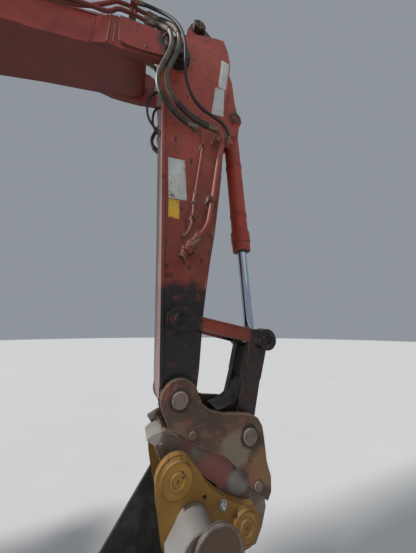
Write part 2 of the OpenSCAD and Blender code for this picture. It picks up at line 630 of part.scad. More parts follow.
// Steel pipes along the boom's top, raised to the post where the hoses start,
// [forward, up] from the arm's tip pin
pipe_lift = 40;
pipe_r = 17;
outer_pipe_y = 238;
inner_pipe_y = 202;
post_x = [-620, -575];
upper_pipe = [[-1150, 3225], [-1060, 3270], [-955, 3340], [-850, 3465], [-760, 3580], [-665, 3605],
    [-540, 3612], [-445, 3610]];
lower_pipe = [[-910, 3280], [-850, 3285], [-800, 3305], [-765, 3345], [-740, 3390], [-700, 3425],
    [-620, 3435], [-465, 3430]];
pipe_start = [for (i = [3:len(boom_top) - 2]) on_boom(boom_top[i] + [0, pipe_lift]) - [tip_x, tip_z]];
module boom_pipes() {
    color(red) both_sides() {
        at_arm() {
            tube([for (p = concat(pipe_start, upper_pipe)) [p[0], inner_pipe_y, p[1]]], pipe_r, 10);
            tube([for (p = concat(pipe_start, lower_pipe)) [p[0], outer_pipe_y, p[1]]], pipe_r, 10);
            // Post with the last clamps, on the fork's upper edge
            plate([[post_x[0], 3336], [post_x[1], 3340], [post_x[1], 3690], [post_x[0], 3690]],
                fork_y0 + 2, fork_y0 + 20);
            box(post_x[0] - 8, post_x[1] + 8, fork_y0 - 2, outer_pipe_y + 22, 3572, 3655);
            box(post_x[0] - 8, post_x[1] + 8, fork_y0, outer_pipe_y + 22, 3400, 3470);
        }
        // Clamps along the boom
        at_boom() for (s = [3550, 4100, 4800])
            plate([[s - 25, lookup(s - 25, boom_top)], [s + 25, lookup(s + 25, boom_top)],
                [s + 25, lookup(s + 25, boom_top) + 70], [s - 25, lookup(s - 25, boom_top) + 70]],
                inner_pipe_y - 24, outer_pipe_y + 24);
    }
}
module boom_lamp() {
    color(iron) at_boom() {
        box(2600, 2660, boom_hw, boom_hw + 60, 900, 930);
        box(2590, 2690, boom_hw + 20, boom_hw + 130, 930, 1030);
    }
}

// Arm, [forward, up] from its tip pin

arm_inner = [[-127, 0], [-130, 70], [-160, 740], [-183, 1230], [-257, 2650], [-296, 2950]];
arm_outer = [[147, 170], [175, 550], [200, 750], [235, 1000], [277, 1250], [320, 1600], [345, 1800],
    [370, 2100], [400, 2300], [420, 2650], [455, 3100], [500, 3500], [470, 3720]];
arm_end = concat(arc(foot_pin, 160, 205, 120, 6), [[-120, 3560], [0, 3660], [60, 3740], [310, 3850],
    [420, 3880]]);
flange_t = 25;
module arm_shell() {
    color(red) at_arm() difference() {
        union() {
            plate(concat(back_to_front(arm_inner), arc(tip_pin, 125, 180, 360, 16), arm_outer,
                back_to_front(arm_end)), -arm_hw, arm_hw);
            round_y(tip_pin, 125, -arm_hw - 20, arm_hw + 20);
            round_y(rocker_pin, 90, -arm_hw - 20, arm_hw + 20);
            round_y(foot_pin, 120, -arm_hw - 5, arm_hw + 5);
            // Flange plates that stand out past the side plates
            plate(concat([for (i = [1:len(arm_inner) - 2]) arm_inner[i]],
                [for (i = [len(arm_inner) - 2:-1:1]) arm_inner[i] + [flange_t, 0]]), -arm_hw - 18,
                arm_hw + 18);
            // Lugs of the bucket cylinder
            both_sides() plate(concat([[380, 2400], [590, 2540]], arc(bucket_head_pin, 88, -50, 60, 8),
                [[565, 2980], [540, 3300], [490, 3480], [390, 3300]]), bucket_head_hw + side_play,
                bucket_head_hw + side_play + 36);
            both_sides()
                round_y(bucket_head_pin, 70, bucket_head_hw + side_play, bucket_head_hw + side_play + 55);
            // Lugs of the arm cylinder
            both_sides() plate(concat([[-60, 3600], [-20, 3900]], arc(arm_rod_pin, 100, 170, 30, 8),
                [[330, 3905], [430, 3850], [300, 3600]]), 76, 116);
            both_sides() round_y(arm_rod_pin, 75, 76, 160);
            round_y(bucket_head_pin, 45, -bucket_head_hw - side_play - 1, bucket_head_hw + side_play + 1);
        }
        round_y(tip_pin, 50 + pin_play, -300, 300);
        round_y(rocker_pin, 45 + pin_play, -300, 300);
        round_y(foot_pin, 60 + pin_play, -300, 300);
    }
}
thick_pipe_y = 235;
thick_pipe = [[285, 2350], [312, 2346], [334, 2318], [339, 2270], [337, 2200], [303, 1994], [270, 1759],
    [239, 1542], [215, 1400], [200, 1312], [166, 1238], [123, 1176]];
thin_pipe_y = 208;
thin_pipe = [[75, 2320], [112, 2314], [142, 2292], [154, 2250], [150, 2150], [132, 1959], [98, 1677],
    [85, 1570], [74, 1469], [70, 1400], [60, 1290], [40, 1222], [-3, 1149]];
// A piece of pipe between two points beside the arm
module fitting(p, q, y, r) { tube([[p[0], y, p[1]], [q[0], y, q[1]]], r, 12); }
module arm_pipes() {
    color(red) at_arm() both_sides() {
        tube([for (p = thick_pipe) [p[0], thick_pipe_y, p[1]]], 24, 12);
        tube([for (p = thin_pipe) [p[0], thin_pipe_y, p[1]]], 12.5, 10);
        // Couplings, and the valve at the lower end
        fitting([130, 1186], [57, 1087], thick_pipe_y, 36);
        fitting([70, 1104], [10, 1022], thick_pipe_y, 44);
        fitting([16, 1030], [-26, 972], thick_pipe_y, 28);
        fitting([87, 1590], [76, 1490], thin_pipe_y, 20);
        // Clamps on the arm's side
        for (p = [[300, 2215], [240, 1535], [38, 1045]])
            box(p[0] - 55, p[0] + 40, arm_hw, thick_pipe_y + 28, p[1] - 22, p[1] + 22);
        for (p = [[146, 2120], [70, 1345]])
            box(p[0] - 22, p[0] + 22, arm_hw, thin_pipe_y + 16, p[1] - 16, p[1] + 16);
        // Block at the bucket cylinder where the black hose ends
        box(340, 465, arm_hw, arm_hw + 56, 2236, 2296);
    }
}

// Bucket linkage

link_y = 205;
link_t = 50;
module rocker_links() {
    color(grease) at_arm() {
        both_sides() {
            link_bar(rocker_pin, 86, rocker_pin + 0.2 * (link_pin - rocker_pin), 42, link_y,
                link_y + link_t);
            link_bar(rocker_pin, 42, link_pin, 55, link_y, link_y + link_t);
            round_y(link_pin, 82, link_y - 3, link_y + link_t + 5);
            round_y(link_pin, 45, 72, link_y + link_t + 10);
        }
        round_y(rocker_pin, 45, -link_y - link_t - 12, link_y + link_t + 12);
    }
}
h_hub_hw = 140;
module h_link() {
    waist = link_pin + 0.42 * (coupler_pin - link_pin);
    web = link_pin + 0.6 * (coupler_pin - link_pin);
    color(grease) at_arm() difference() {
        union() {
            both_sides() link_bar(link_pin, 82, waist, 74, 75, 150);
            both_sides() link_bar(waist, 74, coupler_pin, 80, 75, h_hub_hw);
            both_sides() round_y(link_pin, 80, 75, 196);
            link_bar(web, 70, coupler_pin, 82, -h_hub_hw, h_hub_hw);
            // The casting spreads toward the arm at its foot
            plate([[540, 60], [500, -40], [452, -82], [380, -122], [310, -134], [312, -176], [420, -215],
                [520, -200]], -110, 110);
        }
        round_y(link_pin, 45 + pin_play, -300, 300);
    }
}

// Quick coupler and bucket, on the arm's tip pin

hook_y0 = 152;
plate_y0 = arm_hw + 20 + side_play;
plate_y1 = 241;
coupler_outline = concat(arc(tip_pin, 125, 205, 10, 14), [[150, -38], [210, -85], [310, -115],
    [430, -130], [515, -145], [570, -172], [602, -225], [612, -300], [622, -440], [648, -530],
    [642, -612], [612, -655], [560, -623], [468, -534], [426, -473], [380, -422], [318, -363],
    [255, -328], [170, -292], [84, -251], [34, -207], [-16, -173], [-64, -158], [-85, -115]]);
hook_outline = [[-162, -207], [-80, -169], [-20, -190], [100, -235], [200, -290], [320, -350],
    [420, -450], [500, -560], [560, -620], [610, -640], [620, -710], [580, -810], [530, -880],
    [440, -890], [350, -790], [300, -620], [262, -520], [165, -448], [60, -400], [80, -475], [0, -515],
    [-70, -490], [-95, -440], [-106, -321], [-137, -244]];
// The lifting nose on the hook's front, on one side
nose_outline = [[-190, -208], [-158, -184], [-93, -174], [-60, -195], [-60, -260], [-120, -290],
    [-140, -245]];
ear_pin_r = 45;
module coupler_frame() {
    color(rust) at_arm() {
        both_sides() {
            plate(coupler_outline, plate_y0, plate_y1);
            round_y(tip_pin, 50, plate_y1 - 1, plate_y1 + 6);
            round_y(coupler_pin, 50, plate_y1 - 1, plate_y1 + 6);
            // Bolts of the plate's cross tubes
            round_y([87, -208], 22, plate_y1 - 1, plate_y1 + 5);
            round_y([545, -562], 28, plate_y1 - 1, plate_y1 + 5);
        }
        round_y(tip_pin, 50, -plate_y1, plate_y1);
    }
}
module coupler_hook() {
    color(rust) at_arm() difference() {
        union() {
            both_sides() plate(hook_outline, hook_y0 + 8, plate_y0 - 1);
            plate([[-125, -262], [-80, -215], [-50, -230], [-75, -300], [-120, -305]], -hook_y0 - 10,
                hook_y0 + 10);
            plate(nose_outline, -plate_y0 + 1, -20);
            plate([[290, -540], [400, -590], [425, -625], [320, -610]], -hook_y0 - 10, hook_y0 + 10);
        }
        // The two hooks, round the bucket's pins and open to slip over them
        for (p = [ear_pin_front, ear_pin_rear]) round_y(p, ear_pin_r + pin_play, -300, 300);
        plate([for (p = [[0, ear_pin_r], [0, -ear_pin_r], [-190, -ear_pin_r - 20],
            [-190, ear_pin_r - 5]]) ear_pin_front + p], -300, 300);
        plate([for (p = [[-ear_pin_r, 0], [ear_pin_r, 0], [ear_pin_r + 20, -260],
            [-ear_pin_r + 5, -260]]) ear_pin_rear + p], -300, 300);
    }
}
ear_y0 = 250;
ear_y1 = 300;
boss_t = 34;
front_boss_r = 87;
rear_boss_r = 76;
ear_hole = [147, -497];
ear_outline = concat(arc([-22, -381], 117, 178, 32, 8), [[120, -368], [150, -420], [200, -468],
    [250, -507], [317, -550], [387, -582], [440, -602]], arc([405, -692], 108, 52, -95, 8),
    [[385, -885], [200, -800], [60, -780], [-30, -748], [-73, -686], [-92, -649], [-107, -575],
    [-126, -487]]);
bucket_origin = [-70, -690];
function in_bucket(p) = bucket_origin + p[0] * [-0.569, -0.822] + p[1] * [0.822, -0.569];
tube_pin = [150, -602];
bucket_arc_c = [500, 380];
bucket_arc_r = 540;
shell_t = 25;
shell_outer = concat([[1100, 0]], arc(bucket_arc_c, bucket_arc_r, 8, 166, 13), [[-90, 230]]);
shell_inner = concat([[1074, 0]], arc(bucket_arc_c, bucket_arc_r - shell_t, 8, 165, 13), [[-66, 222]]);
side_plate = concat([[0, 0]], shell_outer, [[-120, 60]]);
// Closed beam over the bucket's top, between the side plates
beam_outline = concat(arc([70, -600], 98, 20, 160, 8), [[-51, -608], [-76, -640], [-70, -700], [60, -775],
    [185, -775], [178, -620]]);
module bucket_shell() {
    color(iron) at_arm() {
        plate([for (p = concat(shell_outer, back_to_front(shell_inner))) in_bucket(p)], -bucket_hw + 20,
            bucket_hw - 20);
        plate(beam_outline, -bucket_hw + 20, bucket_hw - 20);
        both_sides() {
            plate([for (p = side_plate) in_bucket(p)], bucket_hw - 25, bucket_hw);
            // Round end plate of the beam
            round_y(tube_pin, 120, bucket_hw - 25, bucket_hw + 4);
        }
    }
}
module bucket_ears() {
    color(ochre) at_arm() both_sides() difference() {
        union() {
            plate(ear_outline, ear_y0, ear_y1);
            round_y(ear_pin_front, front_boss_r, ear_y0, ear_y1 + boss_t);
            round_y(ear_pin_rear, rear_boss_r, ear_y0, ear_y1 + boss_t);
        }
        plate([for (p = side_plate) in_bucket(p)], 200, 400);
        plate(beam_outline, 200, 400);
        round_y(ear_hole, 11, 200, 400);
    }
    // The bucket's two pins, from ear to ear
    color(ochre) at_arm() for (p = [ear_pin_front, ear_pin_rear])
        round_y(p, ear_pin_r, -ear_y1 - boss_t - 4, ear_y1 + boss_t + 4);
}
module bucket_teeth() {
    color(iron) at_arm() for (i = [-2:2]) {
        plate([for (p = [[1102, -30], [1180, -18], [1180, 46], [1102, 58]]) in_bucket(p)], i * 226 - 48,
            i * 226 + 48);
        plate([for (p = [[1170, -14], [1300, 6], [1300, 16], [1170, 42]]) in_bucket(p)], i * 226 - 38,
            i * 226 + 38);
    }
}

// Cylinders

module boom_barrel(side) {
    color(red) barrel(boom_base, on_boom(boom_rod_pin), side * cyl_y, 90, 95, cyl_eye_hw, 1850, 50, 55);
}
module boom_rod(side) {
    color(chrome) piston_rod(boom_base, on_boom(boom_rod_pin), side * cyl_y, 90, cyl_eye_hw, 1900, 50);
}
module boom_barrel_left() { boom_barrel(1); }
module boom_barrel_right() { boom_barrel(-1); }
module boom_rod_left() { boom_rod(1); }
module boom_rod_right() { boom_rod(-1); }
module arm_barrel() {
    color(red) barrel(on_boom(arm_base_pin), on_arm(arm_rod_pin), 0, 100, 95, arm_base_hw, 2350, 57, 50);
}
module arm_rod() {
    color(chrome) piston_rod(on_boom(arm_base_pin), on_arm(arm_rod_pin), 0, 85, 68, 2300, 57);
}
module bucket_barrel() {
    color(red) barrel(on_arm(bucket_head_pin), on_arm(link_pin), 0, 83, 80, bucket_head_hw, 1552, 45, 45);
}
module bucket_rod() {
    color(chrome) piston_rod(on_arm(bucket_head_pin), on_arm(link_pin), 0, 75, 65, 1800, 45);
}

// Hoses, [forward, left, up] from the arm's tip pin, as they hang on the side away from the cab

// A smooth curve from the first point to the last, drawn by the points between them, in n steps each
function smooth(r, n) =
    let (m = len(r) - 1, q = concat([2 * r[0] - r[1]], r, [2 * r[m] - r[m - 1]]))
    [for (i = [1:m]) for (k = [0:n - 1]) let (t = k / n, u = 1 - t)
        (pow(u, 3) * q[i - 1] + (3 * pow(t, 3) - 6 * t * t + 4) * q[i]
        + (3 * pow(u, 3) - 6 * u * u + 4) * q[i + 1] + pow(t, 3) * q[i + 2]) / 6, r[m]];
hose_r = 22;
black_hose_r = 15;
loop_hose_r = 11;
upper_hose = [[-440, -200, 3610], [-345, -210, 3600], [-255, -245, 3535], [-185, -300, 3410],
    [-145, -335, 3260], [-140, -350, 3105], [-160, -355, 2945], [-205, -345, 2795], [-245, -330, 2660],
    [-225, -310, 2530], [-140, -290, 2440], [-25, -265, 2385], [120, -240, 2355], [280, -235, 2350]];
lower_hose = [[-460, -240, 3430], [-385, -240, 3430], [-315, -260, 3405], [-260, -300, 3335],
    [-225, -335, 3235], [-210, -350, 3110], [-215, -360, 2970], [-250, -355, 2830], [-295, -340, 2695],
    [-320, -320, 2565], [-280, -300, 2450], [-180, -270, 2375], [-60, -235, 2330], [70, -210, 2320]];
black_hose = [[-560, -240, 3640], [-450, -250, 3645], [-340, -275, 3595], [-240, -325, 3485],
    [-150, -370, 3325], [-100, -390, 3140], [-80, -380, 2980], [-80, -345, 2810], [-45, -310, 2665],
    [35, -270, 2575], [130, -245, 2535], [235, -230, 2520], [340, -220, 2500], [410, -210, 2440],
    [435, -205, 2365], [440, -205, 2300]];
first_loop = [[-260, -100, 2785], [-335, -110, 2705], [-380, -120, 2575], [-385, -125, 2440],
    [-350, -115, 2310], [-225, -100, 2235]];
second_loop = [[-250, -50, 2640], [-300, -55, 2590], [-325, -60, 2485], [-320, -60, 2370],
    [-285, -55, 2300], [-220, -50, 2250]];
module joint_hoses() {
    color([0.08, 0.08, 0.08]) at_arm() {
        both_sides() {
            tube(smooth(upper_hose, 2), hose_r);
            tube(smooth(lower_hose, 2), hose_r);
        }
        tube(smooth(black_hose, 2), black_hose_r);
    }
}
module pilot_hoses() {
    color([0.08, 0.08, 0.08]) at_arm() {
        tube(smooth(first_loop, 3), loop_hose_r);
        tube(smooth(second_loop, 3), loop_hose_r);
    }
}

car_body();
track_frame_left();
track_frame_right();
track_left();
track_right();
sprockets();
idlers();
lower_rollers();
carrier_rollers();
slew_ring();
deck();
counterweight();
engine_block();
hood();
side_walls();
radiator_door();
pump_door();
fuel_tank();
hydraulic_tank();
tool_box();
exhaust();
handrails();
cab_shell();
cab_door();
cab_glass();
door_glass();
seat();
consoles();
mirrors();
boom_shell();
boom_pipes();
boom_lamp();
arm_shell();
arm_pipes();
rocker_links();
h_link();
coupler_frame();
coupler_hook();
bucket_ears();
bucket_shell();
bucket_teeth();
boom_barrel_left();
boom_rod_left();
boom_barrel_right();
boom_rod_right();
arm_barrel();
arm_rod();
bucket_barrel();
bucket_rod();
joint_hoses();
pilot_hoses();
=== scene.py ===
import math
import bmesh
import bpy
from mathutils import Matrix, Vector


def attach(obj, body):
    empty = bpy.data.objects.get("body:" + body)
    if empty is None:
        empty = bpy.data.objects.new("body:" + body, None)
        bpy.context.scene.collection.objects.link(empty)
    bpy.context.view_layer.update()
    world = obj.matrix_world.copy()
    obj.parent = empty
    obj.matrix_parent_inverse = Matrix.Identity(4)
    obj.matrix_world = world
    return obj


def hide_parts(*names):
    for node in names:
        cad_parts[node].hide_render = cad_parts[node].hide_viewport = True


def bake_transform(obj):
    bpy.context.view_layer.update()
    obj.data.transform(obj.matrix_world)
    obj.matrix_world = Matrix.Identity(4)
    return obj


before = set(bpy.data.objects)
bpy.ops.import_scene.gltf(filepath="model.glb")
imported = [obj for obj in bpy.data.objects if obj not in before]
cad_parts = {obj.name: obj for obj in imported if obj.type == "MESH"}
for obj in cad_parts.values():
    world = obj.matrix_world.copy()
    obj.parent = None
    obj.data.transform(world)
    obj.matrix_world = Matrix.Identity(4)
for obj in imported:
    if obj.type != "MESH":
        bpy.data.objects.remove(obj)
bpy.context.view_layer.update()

# Camera
# It stands low on the machine's right side, just ahead of the arm, and looks up along the arm to the
# boom's end. The photograph is 416 by 553 pixels, and its focal length is 200 of them.
PHOTO_HEIGHT = 553
FOCAL_PIXELS = 200
camera = bpy.data.objects.new("camera", bpy.data.cameras.new("camera"))
bpy.context.scene.collection.objects.link(camera)
camera.data.sensor_fit = "VERTICAL"
camera.data.sensor_height = 36
camera.data.lens = FOCAL_PIXELS * camera.data.sensor_height / PHOTO_HEIGHT
camera.data.clip_start = 0.02
camera.location = (5.5736, -1.66, 2.3432)
camera.rotation_euler = (math.radians(90 + 14.708), 0, math.radians(-20))
bpy.context.scene.camera = camera

# Hoses over the boom's end
# Two wire-braided rubber hoses hang past the arm's hinge on each side, from the boom's steel pipes to the
# arm's, and a thinner one goes to the bucket cylinder. Crimped steel collars and nuts hold their ends, and
# worn sleeves wrap the stretches that rub.
TIP = Vector((5.9, 0, 1.9))


def by_arm(x, y, z):
    """A point in millimetres from the arm's tip pin, as metres in the machine's frame."""
    return TIP + Vector((x, y, z)) / 1000


def beside_arm(points):
    return [by_arm(*point) for point in points]


def arm_side(y, points):
    """Points in the plane at that distance from the arm's middle, each given as (x, z) in millimetres."""
    return [by_arm(x, y, z) for x, z in points]


def mirrored(points):
    return [Vector((p[0], -p[1], p[2])) for p in points]


def smooth(route, steps):
    """A curve from the route's first point to its last, drawn by the points between them."""
    route = [Vector(point) for point in route]
    pull = [2 * route[0] - route[1], *route, 2 * route[-1] - route[-2]]
    curve = []
    for i in range(1, len(route)):
        for k in range(steps):
            t, u = k / steps, 1 - k / steps
            curve.append((u**3 * pull[i - 1] + (3 * t**3 - 6 * t * t + 4) * pull[i]
                          + (3 * u**3 - 6 * u * u + 4) * pull[i + 1] + t**3 * pull[i + 2]) / 6)
    return curve + [route[-1]]


def route_length(route):
    return sum((b - a).length for a, b in zip(route, route[1:]))


def stretch(curve, start, end, count):
    """Points spread evenly over the part of the curve between two distances from its first point."""
    marks = [0]
    for a, b in zip(curve, curve[1:]):
        marks.append(marks[-1] + (b - a).length)
    spots = []
    for k in range(count):
        s = start + (end - start) * k / (count - 1)
        i = min(max(j for j in range(len(marks)) if j == 0 or marks[j] <= s), len(curve) - 2)
        spots.append(curve[i] + (curve[i + 1] - curve[i]) * (s - marks[i]) / (marks[i + 1] - marks[i]))
    return spots


def turn(count, start=0, whole=0):
    """Angles spread evenly round a turn; with whole=1 the last one comes back to the first."""
    return [2 * math.pi * (k + start) / count for k in range(count + whole)]


def add_ring(bm, at, side, up, radius, sides):
    return [bm.verts.new(at + radius * (math.cos(a) * side + math.sin(a) * up)) for a in turn(sides)]


def skin(bm, rings, closed=False):
    """Faces between neighbouring rings, and a cap on each end unless the last ring joins the first."""
    count = len(rings[0])
    for low, high in zip(rings, rings[1:] + (rings[:1] if closed else [])):
        for k in range(count):
            bm.faces.new((low[k], low[(k + 1) % count], high[(k + 1) % count], high[k]))
    if not closed:
        bm.faces.new(reversed(rings[0]))
        bm.faces.new(rings[-1])


def add_tube(bm, route, radius, sides=12):
    """A round bar along a route. The radius is one number, or one for each point."""
    route = [Vector(point) for point in route]
    radii = radius if hasattr(radius, "__len__") else [radius] * len(route)
    side = None
    rings = []
    for i, point in enumerate(route):
        along = (route[min(i + 1, len(route) - 1)] - route[max(i - 1, 0)]).normalized()
        if side is None:
            side = along.orthogonal().normalized()
        side = (side - along * side.dot(along)).normalized()
        rings.append(add_ring(bm, point, side, along.cross(side), radii[i], sides))
    skin(bm, rings)


def make_piece(name, bm, material, body, sharp=35):
    """Makes an object of the mesh, riding on that body and smooth except where it folds past that angle. The
    mesh is left empty for the next piece."""
    mesh = bpy.data.meshes.new(name)
    bmesh.ops.recalc_face_normals(bm, faces=bm.faces)
    bm.to_mesh(mesh)
    bm.clear()
    mesh.shade_smooth()
    mesh.set_sharp_from_angle(angle=math.radians(sharp))
    piece = bpy.data.objects.new(name, mesh)
    bpy.context.scene.collection.objects.link(piece)
    mesh.materials.append(material)
    if body:
        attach(piece, body)
    return piece


class Bench:
    """A node tree being wired: each call places a node, sets its values and links its inputs."""

    def __init__(self, tree):
        self.tree = tree

    def __call__(self, kind, values=None, **settings):
        node = self.tree.nodes.new("ShaderNode" + kind)
        for key, value in settings.items():
            setattr(node, key, value)
        for key, value in (values or {}).items():
            self.join(value, node.inputs[key])
        return node

    def join(self, value, socket):
        if isinstance(value, bpy.types.NodeSocket):
            self.tree.links.new(value, socket)
        else:
            socket.default_value = value

    def set(self, label, value):
        """Sets or links one input of the material's Principled shader."""
        self.join(value, self.tree.nodes["Principled BSDF"].inputs[label])

    def here(self):
        return self("TexCoord").outputs["Object"]

    def maths(self, operation, *terms):
        return self("Math", dict(enumerate(terms)), operation=operation).outputs[0]

    def times(self, first, second):
        return self.maths("MULTIPLY", first, second)

    def bump(self, height, strength, distance, under=None):
        values = {"Height": height, "Strength": strength, "Distance": distance}
        if under is not None:
            values["Normal"] = under
        return self("Bump", values).outputs[0]

    def ramp(self, value, low, high):
        """0 where the value is under low, 1 where it is over high, smooth between."""
        return self("MapRange", {"Value": value, "From Min": low, "From Max": high},
                    interpolation_type="SMOOTHSTEP").outputs[0]

    def noise(self, place, scale, detail=4, roughness=0.6):
        return self("TexNoise", {"Vector": place, "Scale": scale, "Detail": detail,
                                 "Roughness": roughness}).outputs[0]

    def blend(self, share, first, second):
        node = self("Mix", {"Factor": share}, data_type="RGBA")
        for index, colour in ((6, first), (7, second)):
            self.join(colour if isinstance(colour, bpy.types.NodeSocket) else (*colour, 1),
                      node.inputs[index])
        return node.outputs[2]

    def place(self, group, **values):
        """The group's first output, with those input values."""
        node = self("Group", node_tree=group)
        for label, value in values.items():
            self.join(value, node.inputs[label])
        return node.outputs[0]


def new_group(name, inputs, output="Mask"):
    """A shader node group with those inputs: gives its bench, its inputs and its one output."""
    tree = bpy.data.node_groups.new(name, "ShaderNodeTree")
    for label, value in inputs:
        kind = "NodeSocketVector" if hasattr(value, "__len__") else "NodeSocketFloat"
        tree.interface.new_socket(label, in_out="INPUT", socket_type=kind).default_value = value
    tree.interface.new_socket(output, in_out="OUTPUT", socket_type="NodeSocketFloat")
    return Bench(tree), tree.nodes.new("NodeGroupInput").outputs, tree.nodes.new("NodeGroupOutput").inputs[0]


def cloudy_patches():
    """Soft patches, for fading, stains and uneven gloss."""
    bench, given, out = new_group("cloudy patches", [("Size", 0.5), ("Contrast", 0.3)])
    place = bench.here()
    noise = bench.noise(place, bench.maths("DIVIDE", 1, given["Size"]), 6, 0.62)
    low = bench.maths("SUBTRACT", 0.5, given["Contrast"])
    high = bench.maths("ADD", 0.5, given["Contrast"])
    bench.join(bench.ramp(noise, low, high), out)
    return bench.tree


def settled_dirt():
    """Where dust and mud settle: on what faces up, in corners, and in soft patches."""
    bench, given, out = new_group("settled dirt", [("Reach", 0.08), ("Tops", 0.6), ("Corners", 0.8),
                                                   ("Patch", 0.25)])
    place = bench.here()
    noise = bench.noise(place, bench.maths("DIVIDE", 1, given["Patch"]), 8, 0.7)
    facing = bench("SeparateXYZ", {0: bench("NewGeometry").outputs["Normal"]}).outputs["Z"]
    tops = bench.times(bench.ramp(facing, 0.3, 0.95), given["Tops"])
    open_air = bench("AmbientOcclusion", {"Distance": given["Reach"]}, samples=6).outputs["AO"]
    corners = bench.times(bench.maths("SUBTRACT", 1, open_air), given["Corners"])
    both = bench.maths("ADD", tops, corners)
    broken = bench.maths("MULTIPLY_ADD", bench.maths("SUBTRACT", noise, 0.5), 0.9, both)
    bench.join(bench.ramp(broken, 0.2, 0.85), out)
    return bench.tree


cloudy = cloudy_patches()
settled = settled_dirt()


def new_material(name):
    """A material and the bench on which it is wired."""
    material = bpy.data.materials.new(name)
    material.use_nodes = True
    return material, Bench(material.node_tree)


def hose_rubber(name, rubber, dust, gloss, dust_and_highlight):
    """Rubber greyed by dust on top, with a painted highlight on the side facing the key light, and rubbed in
    patches.
    """
    material, bench = new_material(name)
    place = bench.here()
    rubbed = bench.place(cloudy, Size=0.12, Contrast=0.18)
    dirt = bench.place(settled, Reach=0.03, Tops=0.4, Corners=0.3, Patch=0.07)
    # Painted highlight: faces toward the key light are lightened toward the dust colour
    facing = bench("SeparateXYZ", {0: bench("NewGeometry").outputs["Normal"]}).outputs["X"]
    painted_sun_highlight = bench.ramp(bench.times(facing, -1), 0.45, 0.95)
    colour = bench.blend(bench.times(rubbed, 0.14), rubber, dust)
    colour = bench.blend(bench.times(bench.maths("MAXIMUM", painted_sun_highlight, dirt), dust_and_highlight), colour, dust)
    bench.set("Base Color", colour)
    bench.set("Roughness", bench.maths("MULTIPLY_ADD", dirt, 0.3, gloss))
    bench.set("Normal", bench.bump(bench.noise(place, 400.0, 3), 0.25, 0.0006))
    return material


# The dust colour also paints a highlight on the side of each hose that faces the key light
old_hose = hose_rubber("dusty hose rubber with painted highlight", (0.030, 0.024, 0.018), (0.50, 0.43, 0.30), 0.42, 0.8)
black_rubber = hose_rubber("black hose rubber", (0.010, 0.010, 0.011), (0.09, 0.085, 0.075), 0.58, 0.4)
sleeve_weave = hose_rubber("worn hose sleeve", (0.016, 0.013, 0.010), (0.24, 0.19, 0.12), 0.65, 0.6)


def fitting_steel(name, first, second, rust, rusting, patch, tops, rust_patch, metallic, gloss, uneven):
    """Plated or phosphated steel of small fittings and bolts, dull in patches and rusty at its edges."""
    material, bench = new_material(name)
    dull = bench.place(cloudy, Size=patch, Contrast=0.2)
    dirt = bench.place(settled, Reach=0.02, Tops=tops, Corners=0.9, Patch=rust_patch)
    colour = bench.blend(bench.times(dirt, rusting), bench.blend(dull, first, second), rust)
    bench.set("Base Color", colour)
    bench.set("Metallic", metallic)
    bench.set("Roughness", bench.maths("MULTIPLY_ADD", dull, uneven, gloss))
    return material


zinc = fitting_steel("zinc fittings", (0.22, 0.19, 0.135), (0.12, 0.09, 0.065), (0.10, 0.05, 0.03),
                     rusting=0.8, patch=0.05, tops=0.2, rust_patch=0.04, metallic=0.7, gloss=0.35,
                     uneven=0.25)
HOSE_RADIUS = 0.022
UPPER_HOSE = [(-440, -200, 3610), (-345, -210, 3600), (-255, -245, 3535), (-185, -300, 3410),
              (-145, -335, 3260), (-140, -350, 3105), (-160, -355, 2945), (-205, -345, 2795),
              (-245, -330, 2660), (-225, -310, 2530), (-140, -290, 2440), (-25, -265, 2385),
              (120, -240, 2355), (280, -235, 2350)]
LOWER_HOSE = [(-460, -240, 3430), (-385, -240, 3430), (-315, -260, 3405), (-260, -300, 3335),
              (-225, -335, 3235), (-210, -350, 3110), (-215, -360, 2970), (-250, -355, 2830),
              (-295, -340, 2695), (-320, -320, 2565), (-280, -300, 2450), (-180, -270, 2375),
              (-60, -235, 2330), (70, -210, 2320)]
BLACK_HOSE = [(-560, -240, 3640), (-450, -250, 3645), (-340, -275, 3595), (-240, -325, 3485),
              (-150, -370, 3325), (-100, -390, 3140), (-80, -380, 2980), (-80, -345, 2810),
              (-45, -310, 2665), (35, -270, 2575), (130, -245, 2535), (235, -230, 2520), (340, -220, 2500),
              (410, -210, 2440), (435, -205, 2365), (440, -205, 2300)]
BLACK_RADIUS = 0.015
upper_right = beside_arm(UPPER_HOSE)
lower_right = beside_arm(LOWER_HOSE)
# Name, route, radius, finish, and the stretches from each end that a sleeve covers
crossing = [("hose_upper_right", upper_right, HOSE_RADIUS, old_hose, (0.10, 0.50), 0.42),
            ("hose_upper_left", mirrored(upper_right), HOSE_RADIUS, old_hose, (0.10, 0.50), 0.42),
            ("hose_lower_right", lower_right, HOSE_RADIUS, old_hose, (0.10, 0.30), 0.40),
            ("hose_lower_left", mirrored(lower_right), HOSE_RADIUS, old_hose, (0.10, 0.30), 0.40),
            ("hose_black", beside_arm(BLACK_HOSE), BLACK_RADIUS, black_rubber, None, None)]
COLLAR = [(0, 0.8), (0.03, 1.0), (0.06, 1.27), (0.12, 1.27), (0.15, 1.2), (0.25, 1.2), (0.28, 1.3),
          (0.42, 1.3), (0.45, 1.22), (0.60, 1.22), (0.63, 1.3), (0.77, 1.3), (0.80, 1.22), (0.94, 1.22),
          (1, 1.05)]


def add_collar(bm, curve, radius):
    """Crimped collar over the hose's end, and the nut that joins it to the pipe."""
    into = (curve[0] - curve[1]).normalized()
    line = [curve[0] + into * 0.02, *stretch(curve, 0, 0.2, 20)]
    reach = 3.6 * radius
    spots = stretch(line, 0.02, 0.02 + reach, len(COLLAR))
    add_tube(bm, [spots[0] + (spots[-1] - spots[0]) * s for s, _ in COLLAR],
             [radius * r for _, r in COLLAR], 20)
    add_tube(bm, [curve[0] + into * 0.022, curve[0] + into * 0.018, curve[0] - into * 0.012,
                  curve[0] - into * 0.016], [radius * 1.3, radius * 1.45, radius * 1.45, radius * 1.3], 6)


